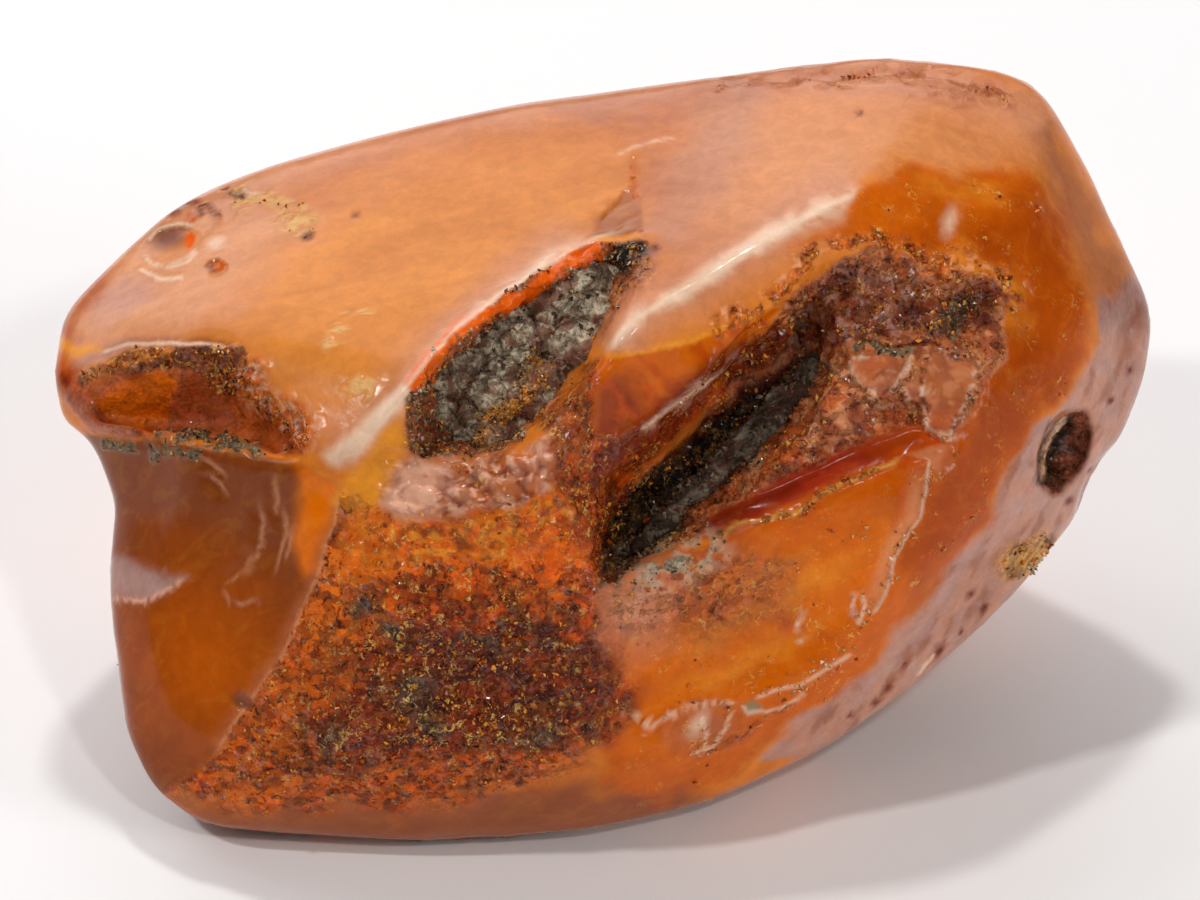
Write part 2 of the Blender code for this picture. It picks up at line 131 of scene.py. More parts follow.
def set_group(obj, name, weights):
    """A vertex group whose weights are rounded to tenths, which keeps it quick to fill."""
    group = obj.vertex_groups.get(name) or obj.vertex_groups.new(name=name)
    tenths = np.round(np.clip(weights, 0, 1) * 10).astype(int)
    for tenth in range(11):
        group.add(np.flatnonzero(tenths == tenth).tolist(), tenth / 10, "REPLACE")
    return group


def smooth(obj, passes, group=None):
    worn = obj.modifiers.new("Worn", "SMOOTH")
    worn.factor = 0.5
    worn.iterations = passes
    if group:
        worn.vertex_group = group
    return settle(obj)


def thin_out(obj, triangles, group):
    """Leaves about this many triangles, their edges growing as the group's weight nears 1."""
    fewer = obj.modifiers.new("Fewer", "DECIMATE")
    fewer.ratio = triangles / sum(len(face.vertices) - 2 for face in obj.data.polygons)
    fewer.vertex_group = group
    fewer.vertex_group_factor = 10
    return settle(obj)


def copy_of_node(name, node):
    """A new object with the CAD node's mesh, its doubled corner points merged."""
    obj = add_object(name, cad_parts[node].data.copy())
    bm = bmesh.new()
    bm.from_mesh(obj.data)
    bmesh.ops.remove_doubles(bm, verts=bm.verts, dist=1e-6)
    bm.to_mesh(obj.data)
    bm.free()
    obj.data.materials.clear()
    return obj


# ---------------------------------------------------------------- noise


def ease(share):
    share = np.clip(share, 0, 1)
    return share * share * (3 - 2 * share)


def lumps(points, size, seed=0):
    """Smooth noise from about -1 to 1, its lumps about `size` millimetres across."""
    scaled = np.asarray(points) / size + seed
    return np.array([noise.noise(p) for p in scaled.tolist()]) * 1.6


def layered(points, size, seed=0, octaves=4):
    total = np.zeros(len(points))
    for octave in range(octaves):
        total += lumps(points, size / 2**octave, seed + 3.7 * octave) / 2**octave
    return total


def shards(points, size, seed=0, slope=0.5):
    """Flat tilted facets with sharp borders, `size` millimetres across (a number or one for each axis)."""
    scaled = np.asarray(points) / size + seed
    near = np.array([tuple(noise.voronoi(p)[1][0]) for p in scaled.tolist()])
    turn = np.stack([np.sin(near @ (12.9, 78.2, 37.7)), np.sin(near @ (39.3, 11.1, 83.1))], axis=1)
    level = np.sin(near @ (63.7, 10.9, 21.3))
    offset = (scaled - near)[:, :2]
    return level * 0.5 + slope * np.sum(offset * turn, axis=1)


def path_distance(spots, path):
    """Each (across, up) spot's distance to a path, its side (positive on the right), and its share along."""
    path = np.asarray(path, float)
    best = np.full(len(spots), np.inf)
    side = np.zeros(len(spots))
    along = np.zeros(len(spots))
    lengths = np.linalg.norm(np.diff(path, axis=0), axis=1)
    walked = np.concatenate([[0], np.cumsum(lengths)])
    for i, length in enumerate(lengths):
        start, run = path[i], path[i + 1] - path[i]
        share = np.clip((spots - start) @ run / length**2, 0, 1)
        offset = spots - (start + share[:, None] * run)
        away = np.linalg.norm(offset, axis=1)
        nearer = away < best
        best[nearer] = away[nearer]
        cross = offset[:, 0] * run[1] - offset[:, 1] * run[0]
        side[nearer] = np.sign(cross[nearer])
        along[nearer] = ((walked[i] + share * length) / walked[-1])[nearer]
    return best, side, along


def depth_inside(spots, outline):
    """How far inside a closed outline each spot lies: negative outside."""
    outline = np.asarray(outline, float)
    closed = np.vstack([outline, outline[:1]])
    away, _, _ = path_distance(spots, closed)
    inside = np.zeros(len(spots), bool)
    for start, end in zip(closed[:-1], closed[1:]):
        spans = (start[1] > spots[:, 1]) != (end[1] > spots[:, 1])
        rise = np.where(spans, (spots[:, 1] - start[1]) / (end[1] - start[1] + 1e-12), 0)
        inside ^= spans & (spots[:, 0] < start[0] + rise * (end[0] - start[0]))
    return np.where(inside, away, -away)


def srgb(red, green, blue):
    """Linear colour of an 8-bit screen colour."""
    shares = [channel / 255 for channel in (red, green, blue)]
    return tuple(s / 12.92 if s <= 0.04045 else ((s + 0.055) / 1.055) ** 2.4 for s in shares)


HONEY = srgb(234, 134, 44)
PEACH = srgb(232, 162, 116)
BLUSH = srgb(214, 152, 126)
GOLD = srgb(248, 160, 46)
ORANGE = srgb(214, 98, 0)
BRIGHT = srgb(240, 118, 0)
EMBER = srgb(250, 104, 0)
RUST = srgb(196, 76, 6)
BROWN = srgb(134, 62, 20)
PLUM = srgb(150, 82, 58)
MAROON = srgb(118, 30, 8)
UMBER = srgb(74, 36, 22)
# A near-black for painted shade in the gash, the holes and along a shaded edge.
PAINTED_SHADE = srgb(26, 16, 12)
TAN = srgb(232, 174, 84)
DUST = srgb(156, 138, 106)
ASH = srgb(86, 74, 56)
# A near-white for painted highlights on ridges, rims, the crack, flake edges, crystals and pits.
PAINTED_HIGHLIGHT = srgb(254, 220, 192)
SLATE = srgb(92, 70, 58)
FLESH = srgb(196, 112, 72)
CREAM = srgb(244, 192, 120)
# A pale lilac for painted sheen: reflections on the glare, the right end, the shelf and a glossy fold.
LILAC_SHEEN = srgb(194, 154, 146)
TOPSIDE = srgb(222, 140, 84)
MAUVE = srgb(134, 78, 60)
BRICK = srgb(172, 50, 20)
CHALK = srgb(206, 190, 166)
# A pale rose for painted sheen and highlights on the glare's edge and the glossy pink folds.
ROSE_SHEEN = srgb(255, 198, 170)
WINE = srgb(92, 26, 12)
CHESTNUT = srgb(120, 50, 18)
COPPER = srgb(172, 68, 0)


class Surface:
    """A piece's points in face millimetres, with strokes that shape them and glazes that colour them."""

    def __init__(self, obj):
        self.obj = obj
        self.points = to_face(read(obj, "co"))
        self.refresh_normals()
        self.front = ease((self.normals[:, 2] - FRONT_FROM) / FRONT_FADE)
        self.warp = None
        self.spots = self.points[:, :2].copy()
        self.tint = np.tile(HONEY, (len(self.points), 1))
        self.rough = np.zeros(len(self.points))
        self.flecks = np.zeros(len(self.points))
        self.dust = np.zeros(len(self.points))

    # masks, from 0 to 1

    def wander(self, amount):
        if not amount:
            return self.spots
        if self.warp is None:
            self.warp = np.stack([layered(self.points, 4, seed, 3) for seed in (11, 47)], axis=1)
        return self.spots + self.warp * amount

    def region(self, outline, edge=0.6, wobble=0.25):
        """1 inside the outline and 0 outside, over a border `edge` wide that wanders by `wobble`."""
        return ease(depth_inside(self.wander(wobble), outline) / edge + 0.5) * self.front

    def band(self, path, half_width, wobble=0.15, ends=0.08):
        away, _, along = path_distance(self.wander(wobble), path)
        return (1 - ease(away / half_width)) * self.fade(along, ends) * self.front

    def oval(self, spot, radius, stretch=1, turn_deg=0, wobble=0.1):
        """How near each point is to an oval's middle: 1 there and 0 from its rim outward."""
        turn = math.radians(turn_deg)
        offset = self.wander(wobble) - np.asarray(spot)
        along = (offset @ np.array((math.cos(turn), math.sin(turn)))) / stretch
        across = offset @ np.array((-math.sin(turn), math.cos(turn)))
        return np.clip(1 - np.hypot(along, across) / radius, 0, 1) * self.front

    def broken(self, mask, size, seed, amount=0.5):
        """The mask with gaps in it: `amount` near 1 leaves most of it."""
        return mask * ease(layered(self.points, size, seed, 3) * 2.5 + 2 * amount - 0.5)

    def fade(self, along, ends):
        return ease(along / ends) * ease((1 - along) / ends) if ends else 1

    # colour: `coarse` says how rough, flecked or dusty the same area turns

    def glaze(self, mask, colour, strength=1, **coarse):
        share = np.clip(mask * strength, 0, 1)[:, None]
        self.tint = self.tint * (1 - share) + np.asarray(colour) * share
        self.coarsen(mask, **coarse)

    def fill(self, outline, colour, strength=1, edge=0.6, wobble=0.25, **coarse):
        self.glaze(self.region(outline, edge, wobble), colour, strength, **coarse)

    def line(self, path, half_width, colour, strength=1, wobble=0.15, ends=0.08, **coarse):
        self.glaze(self.band(path, half_width, wobble, ends), colour, strength, **coarse)

    def spot(self, middle, radius, colour, strength=1, stretch=1, turn_deg=0, wobble=0.1, **coarse):
        self.glaze(self.oval(middle, radius, stretch, turn_deg, wobble), colour, strength, **coarse)

    def patches(self, mask, size, seed, colour, strength=1, amount=0.5, **coarse):
        self.glaze(self.broken(mask, size, seed, amount), colour, strength, **coarse)

    def coarsen(self, mask, rough=0, flecks=0, dust=0):
        self.rough = np.maximum(self.rough, mask * rough)
        self.flecks = np.maximum(self.flecks, mask * flecks)
        self.dust = np.maximum(self.dust, mask * dust)

    def calm(self, mask, strength=1):
        """Makes an area glossy again."""
        keep = 1 - np.clip(mask * strength, 0, 1)
        self.rough *= keep
        self.flecks *= keep
        self.dust *= keep

    # shape

    def push(self, amount, direction=INWARD):
        direction = np.asarray(direction, float) / np.linalg.norm(direction)
        self.points += np.asarray(amount)[:, None] * direction

    def swell(self, amount):
        """Moves each point along its own normal."""
        self.points += self.normals * np.asarray(amount)[:, None]

    def step(self, path, drop, reach, edge=0.4, ends=0.12, direction=INWARD, wobble=0.15):
        """Drops sharply on the right of the path and climbs back over `reach`."""
        away, side, along = path_distance(self.wander(wobble), path)
        signed = away * side
        profile = ease(signed / edge + 0.5) * (1 - ease(signed / reach))
        self.push(drop * profile * self.fade(along, ends) * self.front, direction)

    def groove(self, path, half_width, depth, wobble=0.15, ends=0.12):
        self.push(depth * self.band(path, half_width, wobble, ends))

    def crest(self, path, half_width, height):
        self.push(-height * self.band(path, half_width, 0.1))

    def boss(self, spot, radius, height, stretch=1, turn_deg=0):
        self.push(-height * np.sqrt(self.oval(spot, radius, stretch, turn_deg)))

    def dish(self, spot, radius, depth, stretch=1, turn_deg=0):
        share = self.oval(spot, radius, stretch, turn_deg, 0.05)
        self.push(depth * np.sqrt(np.clip(1 - (1 - share) ** 2, 0, 1)) * (share > 0))

    def relief(self, mask, height):
        """Swells the surface by height(points) wherever the mask shows."""
        busy = np.flatnonzero(mask > BARELY_SHOWN)
        shift = np.zeros(len(self.points))
        shift[busy] = height(self.points[busy]) * mask[busy]
        self.swell(shift)

    def roughen(self, mask, soft=None, sharp=None, base=0):
        """Relief of `soft` lumps and `sharp` shards, each an amount and then its own settings."""

        def height(spots):
            total = base
            for kind, given in ((layered, soft), (shards, sharp)):
                if given:
                    total = total + given[0] * kind(spots, *given[1:])
            return total

        self.relief(mask, height)

    def refresh_normals(self):
        self.normals = read(self.obj, "normal") @ FACE_AXES.T

    def refresh(self):
        """Writes the points back, kept inside the CAD's box, with the foot flat on the floor."""
        world = to_world(self.points)
        world[:, 2] -= FOOT_SINK * MM * ease(FOOT_HEIGHT - world[:, 2] / MM)
        write_points(self.obj, np.clip(world, *np.array(cad_box)))
        self.refresh_normals()

    def store(self):
        """Writes the colours and masks onto the mesh for the material to read."""
        attributes = self.obj.data.attributes
        tint = attributes.new("tint", "FLOAT_COLOR", "POINT")
        tint.data.foreach_set("color", np.c_[self.tint, np.ones(len(self.tint))].astype(np.float32).ravel())
        for name, values in (("rough", self.rough), ("flecks", self.flecks), ("dust", self.dust)):
            layer = attributes.new(name, "FLOAT", "POINT")
            layer.data.foreach_set("value", np.clip(values, 0, 1).astype(np.float32))


# ---------------------------------------------------------------- the crust between the chips

CRUST = [
    (-23.8, -4), (-19.8, -5.8), (-13.5, -5.4), (-7.2, -5), (-3.6, -2.2), (-0.4, -1.3), (0.4, -4.5),
    (0, -13.5), (0.5, -17.4), (1.8, -20.2), (1.8, -22.5), (0.3, -25.4), (-2.7, -28.3), (-10.8, -31),
    (-19.8, -31.9), (-31.5, -31.9), (-38.7, -31.5), (-36.9, -27), (-32.4, -22.5), (-28.8, -16.6),
    (-26.1, -9.9), (-24.8, -6.3),
]
CRUST_CORE = [
    (-18, -10.8), (-9, -9.4), (-0.9, -11.7), (0.9, -20.7), (-2.7, -26.1), (-14.4, -27.4), (-24.3, -27),
    (-25.2, -18.9),
]
EMBER_BAND = [
    (-22.9, -5), (-19.8, -6.3), (-13.5, -5.8), (-7.2, -5), (-2.7, -2.7), (-0.7, -4.5), (-0.9, -9.9),
    (-5.4, -11.2), (-13.5, -9.9), (-19.8, -10.8), (-23.4, -9.9),
]
MAROON_PATCH = [
    (-11.7, -13.5), (-3.6, -12.6), (0.4, -15.3), (1.1, -21.6), (-2.7, -25.2), (-9, -22.5), (-14.4, -21.6),
    (-15.3, -17.1),
]
CRUST_DARK = [
    (-24.3, -18.9), (-16.2, -14.4), (-9, -15.3), (0, -17.1), (1.4, -21.6), (-0.4, -25.2), (-5.4, -27.2),
    (-14.4, -28.1), (-24.3, -28.3), (-27.9, -26.1),
]
CRUST_WAVES = [
    [(-22.9, -11.2), (-18, -12.6), (-13.5, -13.5), (-9, -12.6), (-3.6, -13.9)],
    [(-27, -18.4), (-21.6, -17.1), (-16.2, -18.4), (-11.7, -17.1), (-5.4, -19.6), (0, -18.9)],
    [(-29.7, -22.5), (-24.3, -21.6), (-18, -22.5), (-12.6, -20.9), (-6.3, -22.5), (-0.9, -21.6)],
    [(-32.4, -26.6), (-26.1, -25.6), (-19.8, -26.6), (-13.5, -25.2), (-7.2, -26.3), (-2.7, -25.2)],
    [(-21.6, -7.2), (-16.2, -8.5), (-11.7, -7.2), (-6.3, -8.1), (-1.3, -6.8)],
]
STAINS = [
    ((-18.4, -15.8), 1.4, 2.4, -60),
    ((-16.6, -21.6), 2.6, 1.5, 20),
    ((-15.3, -24.3), 2, 1.5, -30),
    ((-24.3, -26.1), 1.5, 1.9, 80),
    ((-10.8, -17.1), 1.1, 2.6, 0),
    ((-5, -25.6), 1.4, 2, 15),
    ((-20.7, -13.5), 1.2, 2.2, 50),
]


def colour_crust(form):
    crust = form.region(CRUST, 4, 1.2) * (1 - form.region(LEFT_FACE, 0.5, 0.15))
    core = form.region(CRUST_CORE, 7, 1.6)
    form.glaze(crust, ORANGE, 0.8)
    form.glaze(core, RUST, 0.8)
    form.fill(CRUST_DARK, MAROON, 0.85, 4, 1.6)
    form.fill(MAROON_PATCH, WINE, 0.75, 3, 1)
    form.patches(crust, 3.4, 81, WINE, 0.45, 0.1)
    dark = form.region(CRUST_DARK, 4, 1.6)
    form.glaze(form.broken(crust, 2.2, 83, 0.1) * (1 - 0.75 * dark), EMBER, 0.7)
    ember = form.region(EMBER_BAND, 2, 0.9)
    form.glaze(ember, BRIGHT, 1)
    form.patches(ember, 1.8, 84, EMBER, 0.8, 0.2)
    form.patches(ember, 0.9, 86, GOLD, 0.9, 0.2)
    form.patches(ember, 1.3, 88, MAROON, 0.7, 0.05)
    form.spot((-4, -9.9), 4, EMBER, 1.2, 1.4, 20, 0.6)
    form.spot((-23.4, -12.6), 6, BRIGHT, 1.1, 2, 70, 1)
    for spot, radius, stretch, turn in STAINS:
        form.spot(spot, radius, SLATE, 1.4, stretch, turn, 0.6)
    # A painted shade line along the crust's edge by the left face.
    form.line([(-26.7, -22.9), (-26.5, -26.1), (-25.9, -29.2)], 0.7, PAINTED_SHADE, 0.9, 0.3)
    form.coarsen(crust, 0.9, 0.5)
    for path in CRUST_WAVES:
        form.coarsen(form.band(path, 2, 1.2), 1, 1)
    form.coarsen(core, 1, 0.9)
    form.calm(form.region(MAROON_PATCH, 3, 0.8), 0.35)
    form.rough *= 1 - 0.6 * ember
    return crust


def shape_crust(form, crust):
    def height(spots):
        scabs = layered(spots, 3.2, 5, 4)
        facets = shards(spots, np.array((1.3, 0.8, 1)), 9, 1.2)
        grit = shards(spots, np.array((0.6, 0.45, 0.5)), 31, 0.8)
        return 0.2 * scabs + 0.16 * facets + 0.09 * grit

    form.relief(crust, height)


# ---------------------------------------------------------------- the smooth upper face

RIM = [
    (-49.7, 13.5), (-48.4, 15.8), (-45, 18.9), (-41.4, 21.6), (-36, 24.3), (-32.9, 23.8), (-27, 27.2),
    (-19.8, 29.5), (-13.5, 30.8), (0, 32.6), (13.5, 34.4), (27, 34), (36, 32.2), (39.6, 30.1),
]
PEACH_LEFT = [
    (-48.6, 10.8), (-47.7, 17.1), (-42.3, 22.1), (-33.3, 23.4), (-27, 21.1), (-30.6, 17.1), (-34.6, 11.7),
    (-40.5, 9.4), (-45.9, 9),
]
GLOW = [
    (-32.9, 10.8), (-29.7, 18), (-23.4, 22.1), (-15.3, 23.4), (-3.6, 25.2), (3.6, 24.8), (0, 20.7),
    (-7.2, 15.3), (-14.4, 10.8), (-22.5, 4.5), (-27, 6.3), (-31.5, 9),
]
VALLEY = [(4.5, 18.4), (6.1, 21.1), (9, 24.3), (12.2, 29.7), (13, 33.3)]
RIDGE_LEFT = [
    (-24.3, -1.2), (-19.8, 2.2), (-15.3, 7.9), (-12.6, 10.8), (-9, 13.5), (-5.4, 16.2), (-3.6, 18),
    (-0.9, 18.6),
]
RIDGE_RIGHT = [(0, 8.5), (3.8, 12.2), (9, 14.8), (14.4, 18.5), (20.7, 22.1), (24.1, 23.4)]
UPPER_FACE = [
    (-50.4, 9.9), (-48.6, 18), (-42.3, 24.3), (-27, 29.7), (0, 34.2), (27, 36), (41.4, 30.6), (41.4, 25.2),
    (24.3, 25.2), (14.4, 18.5), (4.5, 13.5), (0, 9), (3.6, 19.3), (-3.1, 17.6), (-9, 13.7), (-14.4, 9),
    (-19.8, 1.8), (-24.3, -1.2), (-27, 1.8), (-31.9, 8.8), (-39.6, 9.4), (-45.9, 8.8),
]
TOP_RIGHT = [
    (9, 30.6), (25.2, 31.9), (36, 29.7), (38.7, 26.1), (31.5, 25.4), (25.2, 25), (19.8, 22.1), (12.6, 18.9),
    (8.1, 19.8),
]
SCRATCHES = [
    [(-18.2, 7), (-15.3, 9), (-13.3, 10.1)],
    [(-27, 16.9), (-22.5, 18.9), (-18.7, 20)],
    [(-37.8, 13.5), (-33.3, 14.8), (-30.4, 15.1)],
    [(10.8, 24.3), (14.4, 26.1), (17.1, 27)],
    [(21.6, 27), (27, 28.6), (29.7, 28.8)],
    [(-4.7, 22.1), (-2.2, 22.9), (-0.9, 22.5)],
]


def colour_upper_face(form):
    # The paler topside tone is partly the face's own colour and partly painted sheen.
    form.fill(UPPER_FACE, TOPSIDE, 0.6, 3, 0.5)
    form.fill(GLOW, GOLD, 0.35, 8, 1.5)
    form.line([(-5.4, 29.9), (1.8, 30.8), (9, 31.3), (14.4, 32.2)], 2.6, FLESH, 0.7, 1)
    form.fill([(1.8, 28.8), (9, 30.6), (12.6, 29.2), (9, 24.8), (5.4, 21.1), (3.6, 23.4)], FLESH, 0.45, 3, 1)
    # The peach on the upper left and upper right is painted sheen, a reflection of the light above.
    form.fill(PEACH_LEFT, PEACH, 0.75, 6, 1)
    form.fill(TOP_RIGHT, PEACH, 0.45, 6, 1)
    # The blush along the rim and the valley is painted sheen, and the plum in the valley a painted, darker
    # reflection.
    form.line(RIM, 4.5, BLUSH, 0.6, 0.6, 0)
    form.line(VALLEY, 4.2, PLUM, 0.3, 0.8)
    form.line(VALLEY, 5.2, BLUSH, 0.5, 0.8)
    # The blush around both ridges is painted sheen, and the near-white lines and patches on them are painted
    # highlights.
    form.line(RIDGE_LEFT, 4.2, BLUSH, 0.65, 0.4)
    form.patches(form.band(RIDGE_LEFT, 1.5, 0.4), 2.5, 42, PAINTED_HIGHLIGHT, 0.8, 0.8)
    form.line(RIDGE_LEFT, 0.6, PAINTED_HIGHLIGHT, 0.8)
    form.line([(-24.7, -1.4), (-22.5, 0.4), (-19.8, 2.5), (-17.1, 5.2), (-15.1, 7.6)], 1.5, PAINTED_HIGHLIGHT, 1, 0.3)
    form.line(RIDGE_RIGHT, 5, BLUSH, 0.65, 0.6)
    form.patches(form.band(RIDGE_RIGHT, 1.5, 0.4), 2.5, 43, PAINTED_HIGHLIGHT, 0.6, 0.8)
    form.line(RIDGE_RIGHT, 0.6, PAINTED_HIGHLIGHT, 0.9)
    form.line([(3.6, 11.7), (9, 15.1), (14.4, 18.7), (19.1, 21.2)], 1.2, PAINTED_HIGHLIGHT, 0.8, 0.2, 0.2)


def shape_upper_face(form):
    """The crests along both ridges, and faint old scratches."""
    form.crest(RIDGE_LEFT, 1.7, 0.4)
    form.crest(RIDGE_RIGHT, 1.8, 0.45)
    for path in SCRATCHES:
        form.groove(path, 0.25, 0.06, 0.05)


BLISTER_RINGS = [
    [(-40.9, 18.8), (-39.8, 19.9), (-38, 20.4), (-36.5, 20.1)],
    [(-41.1, 17.8), (-40.3, 16.8), (-38.7, 16.4), (-37.1, 16.9), (-36.1, 18.1)],
    [(-41.6, 16.4), (-39.6, 15.3), (-37.3, 15.5)],
]
UPPER_CHIPS = [
    ([(-38.2, 22), (-36.4, 22.4), (-35.7, 20.9)], 0.5),
    ([(-35.5, 22.3), (-34.7, 21.1), (-34, 21.2)], 0.45),
    ([(-39.1, 21.2), (-37.8, 21.7)], 0.35),
]
CRUMBLY = [
    ((-30.9, 22.1), 1.5, 1.9, -5),
    ((-27.4, 20.8), 1.2, 1.7, 8),
    ((-22.1, 11.5), 0.8, 2.6, 45),
    ((-23.4, 9.7), 0.9, 1.6, 10),
    ((-21.4, 6), 0.9, 1.8, 0),
    ((-32.7, 23.8), 0.8, 1.4, 20),
]
PITS = [
    ((-26.3, 19.3), 0.6, 0.3, 1.5, 20),
    ((-34.5, 16.4), 0.7, 0.7, 1.5, 5),
    ((-21.9, 21.1), 0.4, 0.2, 1.2, 0),
    ((23.3, 30.4), 0.4, 0.3, 1.4, 0),
    ((5, 18), 0.5, 0.3, 1, 0),
    ((-14.6, 21.9), 0.3, 0.15, 1, 0),
    ((-6.3, 26.4), 0.3, 0.15, 1.6, 30),
]


def chip_upper_left(form):
    """The glassy blister, brown chips, pits and crumbly spots by the upper left edge."""
    form.dish((-38.6, 18.5), 1.7, 0.55, 1.6, 12)
    form.spot((-38.9, 19.1), 1.5, BROWN, 1.4, 1.6, 12)
    form.spot((-36.9, 18.9), 0.6, EMBER, 3, 1.5, 80)
    # Each blister ring is a raised crest with a painted highlight along it.
    for path in BLISTER_RINGS:
        form.crest(path, 0.5, 0.25)
        form.line(path, 0.35, PAINTED_HIGHLIGHT, 0.8, 0.1)
    for path, drop in UPPER_CHIPS:
        form.step(path, drop, 1.5)
        form.line(path, 0.7, PLUM, 0.9)
    form.spot((-36.8, 20.9), 0.6, ORANGE, 2)
    form.groove([(-34.2, 23.8), (-33.1, 23.2), (-31.9, 22.5)], 0.8, 1, ends=0.2)
    # The notch is darkened with umber as painted shade, with a painted highlight beside it.
    form.line([(-33.8, 23.6), (-32.9, 23), (-31.9, 22.6)], 0.5, UMBER, 1.2)
    form.line([(-32.6, 23.6), (-31.5, 23), (-30.4, 22.9)], 0.35, PAINTED_HIGHLIGHT, 0.7)
    for spot, radius, stretch, turn in CRUMBLY:
        patch = form.broken(ease(form.oval(spot, 1.2 * radius, stretch, turn, 0.9) * 2), 1, 64, 0.6)
        form.glaze(patch, CREAM, 0.9, rough=0.25, flecks=0.45)
    for spot, radius, depth, stretch, turn in PITS:
        form.dish(spot, radius, depth, stretch, turn)
        form.spot(spot, radius, BROWN, 1.6, stretch, turn)
    form.spot((-34.1, 16.5), 0.6, ORANGE, 2, 1.4)
    # A raised bump with a painted highlight on it.
    form.dish((-34.5, 18.6), 0.9, -0.3, 1.3, 10)
    form.spot((-34.6, 18.5), 1, PAINTED_HIGHLIGHT, 0.8, 1.4, 10)
    form.step([(-31, 22.1), (-32.4, 21.4), (-33.3, 20.3)], 0.2, 2)
    form.step([(-25.9, 21.1), (-25.4, 20.5), (-26.5, 19.6)], 0.25, 1.4)


RIM_BREAK = [
    (37.8, 30.4), (36.3, 31.9), (33.8, 32.6), (29.7, 33.3), (24.3, 33.7), (18, 33.3), (12.6, 32.8),
    (9, 31.9),
]


def flake_rim(form):
    """The chipped, flaky line along the top edge."""
    form.step(RIM_BREAK, 0.5, 2.2, direction=(0, -0.4, -1), wobble=0.3)
    rim = form.broken(form.band(RIM_BREAK, 1.6, 0.8), 2.2, 28)
    form.glaze(rim, FLESH, 0.8, rough=0.35, flecks=0.5)
    form.roughen(rim, sharp=(0.25, 1.1, 3, 1))
    form.dish((35.6, 31.8), 0.9, 0.5, 1.4, -30)
    # A thin painted highlight line.
    form.line([(1.3, 26.3), (3.6, 27.4), (6.8, 28.3)], 0.25, PAINTED_HIGHLIGHT, 0.5)


# ---------------------------------------------------------------- the lip at the left and the face below it

LIP_WALL = [
    (-47.5, 6.1), (-45.9, 7.4), (-43.2, 8.5), (-39.6, 9), (-37.4, 9.4), (-34.6, 9.2), (-31.9, 8.8),
    (-31, 6.5), (-29.2, 4.5), (-27, 1.8), (-26.5, -0.5), (-30.4, -0.2), (-34.6, 1.3), (-39.6, 1.1),
    (-45.7, 1.8), (-48.1, 4.5),
]
GLASSY = [
    (-45.4, 4.5), (-43.9, 5.8), (-41.4, 6.5), (-39.1, 7.4), (-37.5, 8.1), (-38, 5.4), (-39.1, 2.7),
    (-41.4, 2), (-44.3, 2.9),
]
MAROON_FACET = [(-37.3, 7.4), (-35.8, 6.8), (-34, 4.9), (-32.2, 2.2), (-34.6, 1.4), (-38.9, 2.3)]
LIP_CRUST = [
    (-37.5, 9.2), (-31.9, 9), (-31.3, 6.8), (-32.8, 5), (-34.7, 5.8), (-36.4, 7.2), (-44.1, 7),
    (-46.4, 5.6), (-46.8, 6.7), (-42.3, 8.8),
]
JAGGED = [(-31.9, 7.9), (-30.4, 5.2), (-28.8, 3.8), (-27, 1.8), (-26.6, -0.4)]
LIP_EDGE = [(-45, 8.8), (-42.3, 9.4), (-39.6, 9.4), (-37.4, 9.6), (-35.5, 9.4), (-34, 9.1), (-32.2, 8.8)]
LOWER_LIP = [(-49.5, 6.5), (-48.1, 5.2), (-46.4, 4), (-44.1, 2.3), (-40.9, 1.8)]
LEFT_END = [
    ((-47.7, 7), 2.2, 1.5, 60, RUST),
    ((-45, 8.8), 1.6, 2.4, 10, BLUSH),
    ((-48.4, 10.8), 1.6, 1.6, 75, FLESH),
    ((-46.8, 9.4), 0.7, 4, 5, GOLD),
    ((-43.2, 13.5), 2.4, 2, 30, BLUSH),
    ((-45.9, 14.4), 1.6, 2.2, 50, FLESH),
]
LEDGES = [
    [(-45.7, 1.1), (-43.2, 0.5), (-40.5, 0.9), (-37.8, 1.3), (-34.6, 0.8), (-31.7, 0), (-29.9, -1.1)],
    [(-40.5, -0.2), (-38.2, 0), (-35.5, -0.5)],
]
LEFT_FACE = [
    (-48.8, 1.6), (-38.7, 0.9), (-27.2, -1.2), (-23.2, -3.5), (-23.8, -6.8), (-25.1, -10.9), (-26.7, -14.9),
    (-28.7, -18.9), (-31.6, -22.9), (-34.8, -27.4), (-35.9, -28.6), (-42.3, -33.3), (-48.6, -27.9),
]
LEFT_EDGE = LEFT_FACE[3:10]
STRIP = [
    (-27, -1.1), (-23.2, -3.5), (-23.8, -6.8), (-25, -10.6), (-26.3, -11.2), (-27.2, -8.1), (-26.6, -4.5),
]
GLARE = [
    (-46.1, -9), (-43.6, -9.4), (-41.4, -10.3), (-39.1, -11.4), (-37.1, -11.5), (-38.9, -12.8),
    (-41.4, -13.7), (-43.6, -13.7), (-45.2, -12.4),
]
CRESCENTS = [
    [(-30.4, -3.8), (-29.9, -6.3), (-30.4, -8.5), (-31.5, -10.8), (-32.6, -12.2)],
    [(-28.3, -4.5), (-27.9, -7.2), (-28.6, -9.5), (-29.5, -11.7)],
    [(-29.2, -1.8), (-28.6, -4.5), (-28.9, -6.3)],
    [(-33.8, -12.2), (-33.1, -13.7), (-31.9, -14), (-30.4, -13.3)],
    [(-36.4, -0.2), (-34.7, -1.1), (-32.9, -2.5)],
    [(-31, -8.8), (-31.7, -10.4), (-32.9, -11.7), (-34, -12.2)],
    [(-27.4, -6.3), (-27.7, -8.8), (-28.3, -10.4)],
    [(-35.5, -1.8), (-34, -2.9), (-33.3, -4.3)],
]


